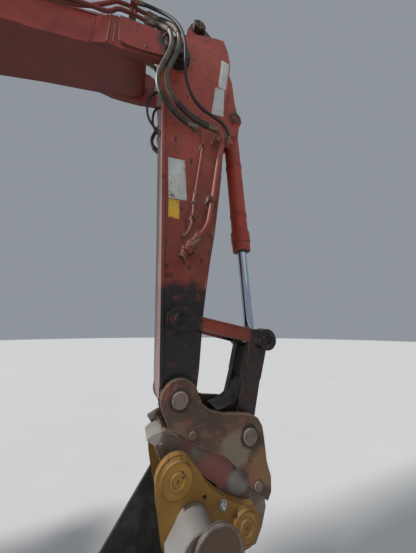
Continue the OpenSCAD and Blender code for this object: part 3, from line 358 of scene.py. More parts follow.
def add_sleeve(bm, curve, start, end, radius):
    """A spiral sleeve: shallow ridges along that part of the hose."""
    count = 2 * round((end - start) / 0.012)
    add_tube(bm, stretch(curve, start, end, count),
             [radius * (1.17 + 0.09 * (k % 2)) for k in range(count)], 20)


# The mesh in which every piece is built, one after the other
bm = bmesh.new()
for name, route, radius, rubber, first_sleeve, last_sleeve in crossing:
    curve = smooth(route, 8)
    whole = route_length(curve)
    add_tube(bm, curve, radius, 20)
    hose = make_piece(name, bm, rubber, None)
    for end, body in (("boom_end", "boom"), ("arm_end", "arm")):
        add_collar(bm, curve if body == "boom" else curve[::-1], radius)
        make_piece(f"{name}_{end}", bm, zinc, body)
    if first_sleeve:
        add_sleeve(bm, curve, *first_sleeve, radius)
        add_sleeve(bm, curve, whole - last_sleeve, whole - 0.09, radius)
        sleeve = make_piece(name + "_sleeves", bm, sleeve_weave, None, 50)
        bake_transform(sleeve)
    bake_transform(hose)
    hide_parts("joint_hoses")

# Small hoses behind the arm
# Two thin rubber hoses leave the arm's inner plate, hang behind it in open loops and go back in lower down.
LOOP_RADIUS = 0.011
OUTER_LOOP = [(-260, -100, 2785), (-335, -110, 2705), (-380, -120, 2575), (-385, -125, 2440),
              (-350, -115, 2310), (-225, -100, 2235)]
INNER_LOOP = [(-250, -50, 2640), (-300, -55, 2590), (-325, -60, 2485), (-320, -60, 2370), (-285, -55, 2300),
              (-220, -50, 2250)]
for name, points in (("loop_hose_outer", OUTER_LOOP), ("loop_hose_inner", INNER_LOOP)):
    route = beside_arm(points)
    curve = smooth(route, 10)
    add_tube(bm, curve, LOOP_RADIUS, 16)
    hose = make_piece(name, bm, black_rubber, "arm")
    for end in (curve, curve[::-1]):
        add_collar(bm, end, LOOP_RADIUS)
    nuts = make_piece(name + "_ends", bm, zinc, "arm")
    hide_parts("pilot_hoses")

# Undercarriage frame
# A welded centre frame with four box legs carries the slewing ring, and a track frame is welded to each pair
# of legs. It is plate in the machine's red-orange paint, worn, rusty and caked with mud.


def worn_edges_group():
    """Where an edge is worn through, broken up so that it isn't a drawn line."""
    bench, given, out = new_group("worn edges", [("Width", 0.008), ("Amount", 0.5)])
    place = bench.here()
    flat = bench("NewGeometry").outputs["Normal"]
    rounded = bench("Bevel", {"Radius": given["Width"]}, samples=6).outputs[0]
    same = bench("VectorMath", {0: flat, 1: rounded}, operation="DOT_PRODUCT").outputs["Value"]
    fold = bench.maths("SUBTRACT", 1, same)
    noise = bench.noise(place, 14.0, 8, 0.75)
    broken = bench.maths("MULTIPLY_ADD", bench.maths("SUBTRACT", noise, 0.60), 1.5,
                         bench.times(fold, given["Amount"]))
    bench.join(bench.times(bench.ramp(broken, 0.0, 0.1), bench.ramp(fold, 0.004, 0.03)), out)
    return bench.tree


def dirt_streaks_group():
    """Runs of grease and rain dirt that go down the machine."""
    bench, given, out = new_group("dirt streaks", [("Spacing", 0.06), ("Amount", 0.4)])
    place = bench.here()
    drawn_out = bench("Mapping", {"Vector": place, "Scale": (1, 1, 0.08)}).outputs[0]
    fine = bench.noise(drawn_out, bench.maths("DIVIDE", 1, given["Spacing"]), 5)
    wide = bench.noise(place, 1.7, 3)
    both = bench.times(bench.ramp(fine, 0.5, 0.74), bench.ramp(wide, 0.38, 0.66))
    bench.join(bench.times(both, given["Amount"]), out)
    return bench.tree


def stone_chips_group():
    """Stone chips and scrapes away from the edges."""
    bench, given, out = new_group("stone chips", [("Size", 0.03), ("Amount", 0.3)])
    place = bench.here()
    warp = bench("TexNoise", {"Vector": place, "Scale": 60.0, "Detail": 4}).outputs["Color"]
    moved = bench("VectorMath", {0: warp, "Scale": 0.03}, operation="SCALE").outputs[0]
    spot = bench("VectorMath", {0: place, 1: moved}, operation="ADD").outputs[0]
    cells = bench("TexVoronoi", {"Vector": spot, "Scale": bench.maths("DIVIDE", 1, given["Size"])})
    chance = bench("SeparateColor", {0: cells.outputs["Color"]}).outputs[0]
    chosen = bench.maths("LESS_THAN", chance, bench.times(given["Amount"], 0.2))
    round_spot = bench.maths("LESS_THAN", cells.outputs["Distance"], bench.times(chance, 1.6))
    bench.join(bench.times(chosen, round_spot), out)
    return bench.tree


def grease_group():
    """Old grease round a pin that lies across the machine, ragged at its border."""
    bench, given, out = new_group("grease round a pin", [("Pin", (0, 0, 0)), ("Reach", 0.3),
                                                         ("Ragged", 0.5)])
    place = bench.here()
    flat = bench("VectorMath", {0: place, 1: (1, 0, 1)}, operation="MULTIPLY").outputs[0]
    away = bench("VectorMath", {0: flat, 1: given["Pin"]}, operation="DISTANCE").outputs["Value"]
    near = bench.maths("SUBTRACT", 1, bench.maths("DIVIDE", away, given["Reach"]))
    noise = bench.maths("SUBTRACT", bench.noise(place, 9.0, 7, 0.7), 0.5)
    bench.join(bench.ramp(bench.maths("MULTIPLY_ADD", noise, given["Ragged"], near), 0.0, 0.35), out)
    return bench.tree


worn_edges = worn_edges_group()
streaks = dirt_streaks_group()
chips = stone_chips_group()
grease = grease_group()
BLACK_GREASE = (0.010, 0.008, 0.007)


def painted_steel(name, paint, faded, grime, bare=0.5, dust=0.35, streak=0.5, gloss=0.46, chipping=0.3,
                  dusty=(0.36, 0.27, 0.20), pins=(), back_dust_and_highlight=0, painted_underside_shade=0.15, low=None,
                  splashes=0):
    """Paint on plate: bleached patches, grease, chips to rust, and dust. Grease lies round each pin given as
    (x, z, reach); back_dust_and_highlight lightens faces that look backward, toward the key light, with dust
    and a painted highlight, and painted_underside_shade paints shade on faces that look down; low is the
    height range over which the paint gets darker downward, and splashes are spots of black oil."""
    material, bench = new_material(name)
    place = bench.here()
    fade = bench.place(cloudy, Size=0.55, Contrast=0.22)
    stain = bench.place(cloudy, Size=0.16, Contrast=0.12)
    edge = bench.place(worn_edges, Width=0.010, Amount=bare * 3)
    chip = bench.place(chips, Size=0.035, Amount=chipping)
    run = bench.place(streaks, Spacing=0.07, Amount=streak)
    dirt = bench.place(settled, Reach=0.10, Tops=dust, Corners=0.75, Patch=0.18)
    colour = bench.blend(fade, paint, faded)
    colour = bench.blend(bench.times(stain, 0.22), colour, grime)
    # Darker towards the bottom over the given height range
    if low:
        height = bench("SeparateXYZ", {0: place}).outputs["Z"]
        under = bench.maths("SUBTRACT", 1, bench.ramp(height, *low))
        colour = bench.blend(bench.times(under, 0.42), colour, grime)
    facing = bench("SeparateXYZ", {0: bench("NewGeometry").outputs["Normal"]})
    # Painted shade: faces that look down are darkened toward the grime colour
    painted_shade_below = bench.ramp(bench.times(facing.outputs["Z"], -1), 0.1, 0.8)
    colour = bench.blend(bench.times(painted_shade_below, painted_underside_shade), colour, grime)
    colour = bench.blend(run, colour, grime)
    if splashes:
        drawn_down = bench("VectorMath", {0: place, 1: (1, 1, 0.45)}, operation="MULTIPLY").outputs[0]
        splash = bench.ramp(bench.noise(drawn_down, 9.0, 7, 0.72), 0.59, 0.62)
        colour = bench.blend(bench.times(splash, splashes), colour, BLACK_GREASE)
    bared = bench.maths("MAXIMUM", edge, chip)
    mixed = bench.ramp(bench.noise(place, 70.0, 5), 0.4, 0.65)
    colour = bench.blend(bared, colour, bench.blend(mixed, (0.11, 0.045, 0.025), (0.045, 0.035, 0.03)))
    colour = bench.blend(bench.times(dirt, 0.7), colour, dusty)
    # Faces that look backward, toward the key light, are lightened: partly dust, partly a painted highlight
    if back_dust_and_highlight:
        behind = bench.ramp(bench.times(facing.outputs["X"], -1), 0.7, 0.95)
        worn = bench.maths("MULTIPLY_ADD", stain, 0.3, 0.7)
        colour = bench.blend(bench.times(bench.times(behind, worn), back_dust_and_highlight), colour,
                             (0.34, 0.24, 0.23))
    rough = bench.maths("MULTIPLY_ADD", fade, 0.14, gloss)
    rubbed_off = bench.ramp(bench.noise(place, 11.0, 6, 0.7), 0.52, 0.68)
    rough = bench.maths("MAXIMUM", rough, bench.times(bench.maths("MAXIMUM", bared, dirt), 0.85))
    for x, z, reach in pins:
        oily = bench.place(grease, Pin=(x, 0, z), Reach=reach, Ragged=0.9)
        shown = bench.maths("SUBTRACT", 1, bench.times(rubbed_off, 0.55))
        if back_dust_and_highlight:
            shown = bench.times(shown, bench.maths("SUBTRACT", 1, bench.times(behind, 0.85)))
        oily = bench.times(oily, shown)
        colour = bench.blend(oily, colour, BLACK_GREASE)
        rough = bench.maths("SUBTRACT", rough, bench.times(oily, 0.12))
    bench.set("Base Color", colour)
    bench.set("Roughness", rough)
    bench.set("Specular IOR Level", 0.4)
    peel = bench.noise(place, 260.0, 2)
    dent = bench.noise(place, 5.0, 2)
    height = bench.maths("MULTIPLY_ADD", peel, 0.0003, bench.times(dent, 0.004))
    height = bench.maths("SUBTRACT", height, bench.times(bared, 0.0006))
    soft = bench("Bevel", {"Radius": 0.005}, samples=6).outputs[0]
    bench.set("Normal", bench.bump(height, 1.0, 1.0, soft))
    return material


def dress(material, *nodes):
    """Gives CAD nodes their finish, smooth round their bores and bars and sharp at their edges."""
    for node in nodes:
        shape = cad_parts[node]
        shape.data.materials.clear()
        shape.data.materials.append(material)
        for face in shape.data.polygons:
            face.use_smooth = True
            face.material_index = 0
        weld = shape.modifiers.new("weld", "WELD")
        weld.merge_threshold = 0.00005
        split = shape.modifiers.new("split", "EDGE_SPLIT")
        split.split_angle = math.radians(32)


def on_circle(at, radius, angles, level=False):
    """Points at those angles of a circle that stands along the machine, or lies level."""
    return [Vector(at) + radius * Vector((math.cos(a), math.sin(a), 0) if level
                                         else (math.cos(a), 0, math.sin(a))) for a in angles]


def add_turned(bm, at, facing, profile, sides=16, closed=False):
    """A turned part: rings of those radii at those distances along the way it faces."""
    axis = Vector(facing).normalized()
    side = axis.orthogonal().normalized()
    rings = [add_ring(bm, Vector(at) + axis * reach, side, axis.cross(side), radius, sides)
             for radius, reach in profile]
    skin(bm, rings, closed)


def add_hoop(bm, at, facing, section, sides=40):
    """A ring: a closed section of radii and distances along the way it faces, carried round its axis."""
    add_turned(bm, at, facing, section, sides, closed=True)


def add_bolt(bm, at, facing, size):
    """Washer and chamfered hexagon head. The size is half the head's width over its corners."""
    add_turned(bm, at, facing, [(1.3 * size, -0.2 * size), (1.3 * size, 0.16 * size),
                                (1.2 * size, 0.22 * size)], 14)
    add_turned(bm, at, facing, [(0.97 * size, 0.1 * size), (size, 0.26 * size), (size, 0.72 * size),
                                (0.82 * size, 0.86 * size)], 6)


def add_bead(bm, points, radius, step=0.014):
    """A weld bead: a rounded ridge with the ripples of its runs."""
    route = [Vector(p) for p in points]
    count = max(4, round(route_length(route) / step))
    add_tube(bm, stretch(route, 0, route_length(route) * 0.9999, count),
             [radius * (1 + 0.16 * (-1) ** k) for k in range(count)], 6)


def add_slab(bm, corners, thickness, rounding=0.002):
    """A plate with rounded edges: its outline's corners, and its thickness as a vector."""
    low = [bm.verts.new(Vector(c)) for c in corners]
    high = [bm.verts.new(Vector(c) + Vector(thickness)) for c in corners]
    count = len(low)
    faces = [bm.faces.new(reversed(low)), bm.faces.new(high)]
    for k in range(count):
        faces.append(bm.faces.new((low[k], low[(k + 1) % count], high[(k + 1) % count], high[k])))
    if rounding:
        edges = {edge for face in faces for edge in face.edges}
        bmesh.ops.bevel(bm, geom=list(edges), offset=rounding, segments=2, profile=0.5, affect="EDGES")


def add_block(bm, low, high, rounding=0.004):
    """A block with rounded edges between two opposite corners."""
    (x0, y0, z0), (x1, y1, z1) = low, high
    add_slab(bm, [(x0, y0, z0), (x1, y0, z0), (x1, y1, z0), (x0, y1, z0)], (0, 0, z1 - z0), rounding)


under_paint = painted_steel("muddy undercarriage paint", (0.30, 0.035, 0.018), (0.33, 0.07, 0.045),
                            (0.045, 0.028, 0.02), bare=0.7, chipping=0.6, dust=0.9, streak=0.6, gloss=0.6)
dress(under_paint, "car_body", "track_frame_left", "track_frame_right")
bolt_steel = fitting_steel("dark bolt steel", (0.075, 0.06, 0.05), (0.035, 0.026, 0.022),
                           (0.16, 0.10, 0.06), rusting=0.7, patch=0.04, tops=0.25, rust_patch=0.05,
                           metallic=0.5, gloss=0.4, uneven=0.3)
TRACK_Y = 1.295
FRAME_HALF = 0.15
LEG_Y = TRACK_Y - FRAME_HALF
TRACK_FACE = TRACK_Y + FRAME_HALF
COVER_X = 0.92
COVER_Z = 0.53
BLOCK_CORNERS = ((-1, -1), (1, -1), (1, 1), (-1, 1))
for s in (-1, 1):
    for x in (-1.35, -1.0, 1.0, 1.35):
        add_bead(bm, [(x, s * LEG_Y, 0.525), (x, s * LEG_Y, 0.695)], 0.008)
    outer = s * TRACK_FACE
    add_bead(bm, [(-1.44, outer, 0.70), (1.44, outer, 0.70)], 0.006)
    for x in (-1.43, 1.43):
        add_bead(bm, [(x, outer, 0.66), (x, outer, 0.40)], 0.007)
        add_bead(bm, [(x * 0.742 / 1.43, s * 0.2, 0.56), (x * 0.742 / 1.43, s * 0.2, 0.88)], 0.006)
    # Cover over the grease nipple of the track's tightener
    add_slab(bm, [(COVER_X + 0.1 * c, outer, COVER_Z + 0.055 * z) for c, z in BLOCK_CORNERS],
             (0, s * 0.012, 0))
add_bead(bm, on_circle((0, 0, 0.955), 0.692, turn(120, whole=1), level=True), 0.009)
make_piece("undercarriage_welds", bm, under_paint, "undercarriage", 60)
for s in (-1, 1):
    for c, z in BLOCK_CORNERS:
        add_bolt(bm, (COVER_X + 0.08 * c, s * (TRACK_FACE + 0.012), COVER_Z + 0.035 * z), (0, s, 0), 0.011)
    # Bolts of the roller guards, and of the steps
    for i in range(8):
        add_bolt(bm, (-1.35 + i * 2.7 / 7, s * (TRACK_FACE + 0.001), 0.38), (0, s, 0), 0.013)
    for x in (-0.56, -0.28, 0.28, 0.56):
        add_bolt(bm, (x, s * (TRACK_Y + 0.285), 0.545), (0, s, 0), 0.010)
make_piece("undercarriage_bolts", bm, bolt_steel, "undercarriage")

# Tracks
# Forged links, pins and bushings make each chain, and a rolled triple-grouser shoe is bolted to every link
# with four bolts. The steel is brown with mud and polished where it runs.


def worn_metal(name, first, second, spots, edge_colour, gloss=0.5, metallic=0.6, patch=0.12, dust=0.3,
               dusty=(0.36, 0.29, 0.21), edges=0.5, bumps=0.0012, pins=(), contrast=0.14,
               zones=(), fleck=None):
    """Bare or barely painted steel: two mottled tones, darker spots, rubbed edges and dust. Grease lies round
    each pin (x, z, reach). A zone of another colour is (x, z, reach, colour, distance): on the outer faces
    beyond that distance from the middle, or within it where it is negative. A fleck is old paint's colour."""
    material, bench = new_material(name)
    place = bench.here()
    mottle = bench.place(cloudy, Size=patch, Contrast=contrast)
    spot = bench.place(cloudy, Size=patch / 3, Contrast=0.06)
    edge = bench.place(worn_edges, Width=0.010, Amount=edges * 3)
    dirt = bench.place(settled, Reach=0.08, Tops=dust, Corners=0.6, Patch=0.12)
    colour = bench.blend(mottle, first, second)
    colour = bench.blend(bench.times(spot, 0.45), colour, spots)
    if fleck:
        colour = bench.blend(bench.ramp(bench.noise(place, 7.0, 7, 0.72), 0.52, 0.64), colour, fleck)
    for x, z, reach, tint, beyond in zones:
        zone = bench.place(grease, Pin=(x, 0, z), Reach=reach, Ragged=0.1 if abs(beyond) > 0.1 else 0.8)
        across = bench.maths("ABSOLUTE", bench("SeparateXYZ", {0: place}).outputs["Y"])
        outside = bench.ramp(across, abs(beyond) - 0.002, abs(beyond))
        where = outside if beyond > 0 else bench.maths("SUBTRACT", 1, outside)
        colour = bench.blend(bench.times(bench.times(zone, where), 0.85), colour, tint)
    colour = bench.blend(edge, colour, edge_colour)
    colour = bench.blend(bench.times(dirt, 0.7), colour, dusty)
    rough = bench.maths("MULTIPLY_ADD", mottle, 0.25, gloss)
    rough = bench.maths("MAXIMUM", rough, bench.times(dirt, 0.9))
    for x, z, reach in pins:
        oily = bench.place(grease, Pin=(x, 0, z), Reach=reach, Ragged=0.9)
        colour = bench.blend(oily, colour, BLACK_GREASE)
        rough = bench.maths("SUBTRACT", rough, bench.times(oily, 0.15))
    bench.set("Base Color", colour)
    bench.set("Metallic", metallic)
    bench.set("Roughness", rough)
    height = bench.times(bench.noise(place, 90.0, 6, 0.7), bumps)
    soft = bench("Bevel", {"Radius": 0.005}, samples=6).outputs[0]
    bench.set("Normal", bench.bump(height, 1.0, 1.0, soft))
    return material


track_steel = worn_metal("worn track steel", (0.085, 0.06, 0.042), (0.14, 0.095, 0.062),
                         (0.04, 0.028, 0.02), (0.34, 0.31, 0.27), dust=0.8)
dress(track_steel, "track_left", "track_right")
WHEEL_X = 1.95
WHEEL_Z = 0.535
SHOE_LOOP = 0.499
SHOE_COUNT = 48
LOOP_LENGTH = 4 * WHEEL_X + 2 * math.pi * SHOE_LOOP
PITCH = LOOP_LENGTH / SHOE_COUNT
CHAIN_HALF = 0.105


def on_track(s, out):
    """Point on the track's loop at distance s round it, that far outside the shoes' back, and its heading."""
    r = SHOE_LOOP + out
    half_turn = math.pi * SHOE_LOOP
    s %= LOOP_LENGTH
    if s < 2 * WHEEL_X:
        return Vector((s - WHEEL_X, 0, WHEEL_Z + r)), 0
    if s < 2 * WHEEL_X + half_turn:
        x, a = WHEEL_X, math.pi / 2 - (s - 2 * WHEEL_X) / SHOE_LOOP
    elif s < 4 * WHEEL_X + half_turn:
        return Vector((3 * WHEEL_X + half_turn - s, 0, WHEEL_Z - r)), math.pi
    else:
        x, a = -WHEEL_X, 3 * math.pi / 2 - (s - 4 * WHEEL_X - half_turn) / SHOE_LOOP
    return Vector((x + r * math.cos(a), 0, WHEEL_Z + r * math.sin(a))), a - math.pi / 2


def add_link(bm, s, y, facing):
    """The side of one chain link: a waisted plate with a raised boss at its pin."""
    centre, heading = on_track(s, -0.07)
    ahead = Vector((math.cos(heading), 0, math.sin(heading)))
    up = Vector((-math.sin(heading), 0, math.cos(heading)))
    lower = [(-0.50, -0.020), (-0.44, -0.042), (-0.2, -0.042), (0, -0.034), (0.2, -0.042), (0.44, -0.042),
             (0.50, -0.020)]
    outline = lower + [(-a, -b) for a, b in lower]
    add_slab(bm, [centre + ahead * a * PITCH * 0.96 + up * b + Vector((0, y, 0)) for a, b in outline],
             (0, facing * 0.010, 0), 0.003)
    pin, _ = on_track(s + PITCH / 2, -0.07)
    add_turned(bm, pin + Vector((0, y, 0)), (0, facing, 0),
               [(0.032, 0), (0.032, 0.013), (0.028, 0.016), (0.020, 0.016), (0.018, 0.012)], 14)


for side, name in ((1, "track_left"), (-1, "track_right")):
    for i in range(SHOE_COUNT):
        for facing in (-1, 1):
            add_link(bm, i * PITCH, side * TRACK_Y + facing * CHAIN_HALF, facing)
    make_piece(name + "_links", bm, track_steel, "undercarriage")
    for i in range(SHOE_COUNT):
        s = (i + 0.5) * PITCH
        for ds in (-0.24, 0.17):
            point, heading = on_track(s + ds * PITCH, 0.0108)
            out = Vector((-math.sin(heading), 0, math.cos(heading)))
            for y in (-0.075, 0.075):
                add_bolt(bm, point + Vector((0, side * TRACK_Y + y, 0)), out, 0.014)
    make_piece(name + "_shoe_bolts", bm, bolt_steel, "undercarriage")

# Sprockets, idlers and rollers
# Cast wheels carry and drive the tracks. The sprocket is bolted to the travel motor's gear case, and hubs
# filled with oil close the idlers and rollers, each with its plug.
dress(track_steel, "sprockets", "idlers", "lower_rollers", "carrier_rollers")
CARRIER_Z = WHEEL_Z + SHOE_LOOP - 0.125 - 0.074
for s in (-1, 1):
    way = (0, s, 0)
    # Two rings of bolts on each sprocket and one on each idler: place, ring, bolts and their size
    for x, y, radius, angles, size in ((-WHEEL_X, 0.150, 0.212, turn(20), 0.015),
                                       (-WHEEL_X, 0.200, 0.155, turn(12, 0.5), 0.011),
                                       (WHEEL_X, 0.154, 0.062, turn(8), 0.008)):
        for at in on_circle((x, s * (TRACK_Y + y), WHEEL_Z), radius, angles):
            add_bolt(bm, at, way, size)
    for at in on_circle((-WHEEL_X, s * (TRACK_Y + 0.200), WHEEL_Z), 0.085, (0.6, 2.6, 4.7)):
        add_turned(bm, at, way, [(0.022, 0), (0.022, 0.006), (0.014, 0.008), (0.014, 0.016)], 12)
    add_turned(bm, (WHEEL_X, s * (TRACK_Y + 0.154), WHEEL_Z), way,
               [(0.034, 0), (0.034, 0.006), (0.028, 0.009)], 20)
    for x in (-0.75, 0.75):
        add_turned(bm, (x, s * (TRACK_Y + 0.100), CARRIER_Z), way,
                   [(0.05, 0), (0.05, 0.005), (0.044, 0.008)], 20)
        add_bolt(bm, (x, s * (TRACK_Y + 0.107), CARRIER_Z), way, 0.010)
make_piece("wheel_bolts", bm, bolt_steel, "undercarriage")

# Slewing ring
# A ring of hardened steel with its balls inside joins the house to the undercarriage. Bolts hold it all
# round, and a rubber seal closes it.
ring_steel = worn_metal("machined ring steel", (0.22, 0.20, 0.18), (0.13, 0.11, 0.09), (0.05, 0.04, 0.03),
                        (0.5, 0.48, 0.45))
dress(ring_steel, "slew_ring")
for z in (1.100, 1.150):
    add_tube(bm, on_circle((0, 0, z), 0.643, turn(96, whole=1), level=True), 0.006, 8)
make_piece("slew_ring_seals", bm, black_rubber, "undercarriage")
for at in on_circle((0, 0, 1.075), 0.66, turn(36), level=True):
    add_bolt(bm, at, (0, 0, 1), 0.014)
make_piece("slew_ring_bolts", bm, bolt_steel, "undercarriage")

# House deck
# The revolving frame: a plate deck with two tall brackets for the boom's foot and two for its cylinders.
# Weld beads join them, bolted keepers hold the pins, and a ribbed tread plate covers the gangway.
body_paint = painted_steel("red-orange body paint", (0.36, 0.036, 0.018), (0.40, 0.075, 0.045),
                           (0.05, 0.03, 0.022), bare=0.3, chipping=0.15, streak=0.35, gloss=0.36)
dress(body_paint, "deck")
DECK_TOP = 1.32
BOOM_FOOT = Vector((0.18, 0, 1.95))
BOOM_BASE = Vector((0.93, 0, 1.48))
FOOT_FACE = 0.317
BASE_FACE = 0.481
for s in (-1, 1):
    add_bead(bm, [(-0.90, s * FOOT_FACE, DECK_TOP), (0.88, s * FOOT_FACE, DECK_TOP)], 0.009)
    add_bead(bm, [(0.70, s * BASE_FACE, DECK_TOP), (0.96, s * BASE_FACE, DECK_TOP)], 0.008)
    add_bead(bm, on_circle(BOOM_FOOT + Vector((0, s * FOOT_FACE, 0)), 0.102, turn(36, whole=1)), 0.007)
make_piece("deck_welds", bm, body_paint, "house", 60)
for s in (-1, 1):
    add_hoop(bm, BOOM_FOOT + Vector((0, s * 0.346, 0)), (0, s, 0),
             [(0.085, -0.001), (0.085, 0.006), (0.078, 0.010), (0.052, 0.010), (0.048, 0.004),
              (0.048, -0.001)], 36)
    add_hoop(bm, BOOM_BASE + Vector((0, s * 0.500, 0)), (0, s, 0),
             [(0.048, -0.001), (0.048, 0.006), (0.043, 0.010), (0.028, 0.010), (0.025, 0.003),
              (0.025, -0.001)], 32)
    for at in on_circle(BOOM_FOOT + Vector((0, s * 0.354, 0)), 0.065, turn(6)):
        add_bolt(bm, at, (0, s, 0), 0.009)
    for at in on_circle(BOOM_BASE + Vector((0, s * 0.506, 0)), 0.036, (0.8, 2.4)):
        add_bolt(bm, at, (0, s, 0), 0.006)
make_piece("deck_pin_keepers", bm, bolt_steel, "house")
tread_steel = worn_metal("worn tread plate", (0.13, 0.12, 0.11), (0.20, 0.18, 0.16), (0.07, 0.05, 0.04),
                         (0.40, 0.38, 0.35), dust=0.6, patch=0.2)


def add_tread(bm, x0, x1, y0, y1, z, pitch=0.035):
    """A tread plate with rows of short raised ribs, each row turned against the next."""
    add_block(bm, (x0, y0, z), (x1, y1, z + 0.003), 0.001)
    rows, columns = int((x1 - x0 - 0.02) / pitch), int((y1 - y0 - 0.02) / pitch)
    for i in range(rows):
        for j in range(columns):
            centre = Vector((x0 + (x1 - x0 - (rows - 1) * pitch) / 2 + i * pitch,
                             y0 + (y1 - y0 - (columns - 1) * pitch) / 2 + j * pitch, z + 0.003))
            a = math.pi / 4 * (1 if (i + j) % 2 else -1)
            way, across = Vector((math.cos(a), math.sin(a), 0)), Vector((-math.sin(a), math.cos(a), 0))
            add_slab(bm, [centre + way * 0.011, centre + across * 0.004, centre - way * 0.011,
                          centre - across * 0.004], (0, 0, 0.0022), 0)


add_tread(bm, 0.96, 1.88, -0.745, -0.515, DECK_TOP)
make_piece("deck_tread", bm, tread_steel, "house")

# Counterweight
# One heavy casting bolted to the deck's tail, smoothly painted, with two lifting lugs. Red lamps are set into
# its back, and plugs close the holes of its bolts.
dress(body_paint, "counterweight")
TAIL_RADIUS = 3.5


def on_tail(y, z, out=0):
    """Point on the counterweight's back, and the way that it faces there."""
    x = -math.sqrt(TAIL_RADIUS**2 - y * y)
    facing = Vector((x, y, 0)).normalized()
    return Vector((x, y, z)) + facing * out, facing


def tinted_lens(name, colour):
    """Moulded lamp cover with a fine prism grid inside."""
    material, bench = new_material(name)
    place = bench.here()
    grid = bench("TexVoronoi", {"Vector": place, "Scale": 160.0}).outputs[0]
    film = bench.place(cloudy, Size=0.06, Contrast=0.25)
    bench.set("Base Color", bench.blend(bench.times(film, 0.4), colour, (0.20, 0.13, 0.09)))
    bench.set("Roughness", bench.maths("MULTIPLY_ADD", film, 0.3, 0.12))
    bench.set("Coat Weight", 0.6)
    bench.set("Normal", bench.bump(grid, 0.4, 0.001))
    return material


red_lens = tinted_lens("red lamp cover", (0.42, 0.012, 0.010))
amber_lens = tinted_lens("amber lamp cover", (0.62, 0.20, 0.01))
black_trim = worn_metal("black trim", (0.02, 0.02, 0.021), (0.035, 0.035, 0.037), (0.01, 0.01, 0.01),
                        (0.08, 0.08, 0.08), gloss=0.5, metallic=0.0)
frames, lenses = bmesh.new(), bmesh.new()
for y in (-1.05, 1.05):
    centre, facing = on_tail(y, 1.72, -0.002)
    across = facing.cross(Vector((0, 0, 1)))
    for mesh, half, tall, deep in ((frames, 0.105, 0.050, 0.010), (lenses, 0.092, 0.037, 0.016)):
        add_slab(mesh, [centre + across * a * half + Vector((0, 0, b * tall)) for a, b in BLOCK_CORNERS],
                 facing * deep, 0.004)
make_piece("tail_lamp_frames", frames, black_trim, "house")
make_piece("tail_lamps", lenses, red_lens, "house")
for y in (-0.95, -0.32, 0.32, 0.95):
    add_turned(bm, (-2.72, y, 2.445), (0, 0, 1), [(0.060, -0.004), (0.060, 0.004), (0.052, 0.009),
                                                  (0.020, 0.010)], 28)
for y in (-0.35, 0.35):
    centre, facing = on_tail(y, 1.45, 0)
    add_turned(bm, centre, facing, [(0.050, -0.004), (0.050, 0.004), (0.042, 0.008), (0.015, 0.008)], 28)
add_block(bm, (-3.30, -0.07, 2.443), (-3.20, 0.07, 2.500), 0.012)
add_turned(bm, (-3.298, 0, 2.470), (-1, 0, -0.25), [(0.024, -0.01), (0.024, 0.012), (0.018, 0.014),
                                                    (0.014, 0.008)], 20)
make_piece("counterweight_plugs", bm, black_trim, "house")

# Engine hood
# Pressed sheet over the engine, hinged at its back edge. It has louvres with mesh under them, a raised cover
# over the air cleaner, and rough tread pads where people step.
dress(body_paint, "hood")
exhaust_rust = worn_metal("rusty exhaust steel", (0.09, 0.055, 0.038), (0.16, 0.085, 0.05),
                          (0.04, 0.03, 0.025), (0.20, 0.14, 0.10), gloss=0.6, metallic=0.3, patch=0.1)
dress(exhaust_rust, "exhaust", "engine_block")
HOOD_TOP = 2.62
EXHAUST = Vector((-1.3, -0.5, 0))
add_tread(bm, -2.20, -1.48, -0.84, -0.28, HOOD_TOP, 0.045)
add_tread(bm, -1.06, -0.98, -0.80, 0.80, HOOD_TOP, 0.04)
make_piece("hood_treads", bm, tread_steel, "hood_body")
for i in range(8):
    x = -2.18 + i * 0.06
    add_slab(bm, [(x - 0.004, -0.205, HOOD_TOP - 0.002), (x - 0.004, 0.645, HOOD_TOP - 0.002),
                  (x + 0.026, 0.645, HOOD_TOP + 0.016), (x + 0.026, -0.205, HOOD_TOP + 0.016)],
             (0, 0, 0.003), 0.001)
for y in (-0.70, 0.70):
    add_block(bm, (-0.952, y - 0.05, 2.40), (-0.938, y + 0.05, 2.46), 0.004)
make_piece("hood_louvres", bm, body_paint, "hood_body")
for i in range(10):
    x = -2.19 + i * 0.052
    add_tube(bm, [(x, -0.20, 2.586), (x, 0.64, 2.586)], 0.003, 6)
add_block(bm, (-2.20, -0.22, 2.570), (-1.70, 0.66, 2.578), 0.001)
seal = [(x, y, 2.626) for x, y in ((-1.565, 0.055), (-1.115, 0.055), (-1.115, 0.625), (-1.565, 0.625))]
add_tube(bm, seal + seal[:1], 0.007, 8)
make_piece("hood_mesh_and_seal", bm, black_rubber, "hood_body")
for x in (-1.52, -1.16):
    for y in (0.10, 0.58):
        add_bolt(bm, (x, y, 2.690), (0, 0, 1), 0.011)
for x in (-2.188, -1.488):
    for y in (-0.82, -0.30):
        add_bolt(bm, (x, y, HOOD_TOP + 0.003), (0, 0, 1), 0.007)
# Clamp round the exhaust, and its rolled mouth
add_hoop(bm, EXHAUST + Vector((0, 0, 2.66)), (0, 0, 1),
         [(0.0645, 0), (0.071, 0), (0.071, 0.03), (0.0645, 0.03)], 40)
add_bolt(bm, EXHAUST + Vector((0, -0.072, 2.675)), (0, -1, 0), 0.008)
make_piece("hood_bolts", bm, bolt_steel, "hood_body")
mouth, blow = Vector((-1.4393, -0.5, 2.9975)), Vector((-0.8192, 0, 0.5736))
add_hoop(bm, mouth, blow, [(0.0595, -0.016), (0.064, -0.012), (0.064, 0.002), (0.0615, 0.004),
                           (0.056, 0.002), (0.056, -0.002), (0.0595, -0.004)], 40)
add_bead(bm, on_circle(EXHAUST + Vector((0, 0, 2.905)), 0.064, turn(30, whole=1), level=True), 0.005)
make_piece("exhaust_rim", bm, exhaust_rust, "hood_body")
add_turned(bm, mouth, blow, [(0.056, -0.001), (0.054, 0.0008), (0.02, 0.0008)], 32)
make_piece("exhaust_soot", bm, black_rubber, "hood_body")

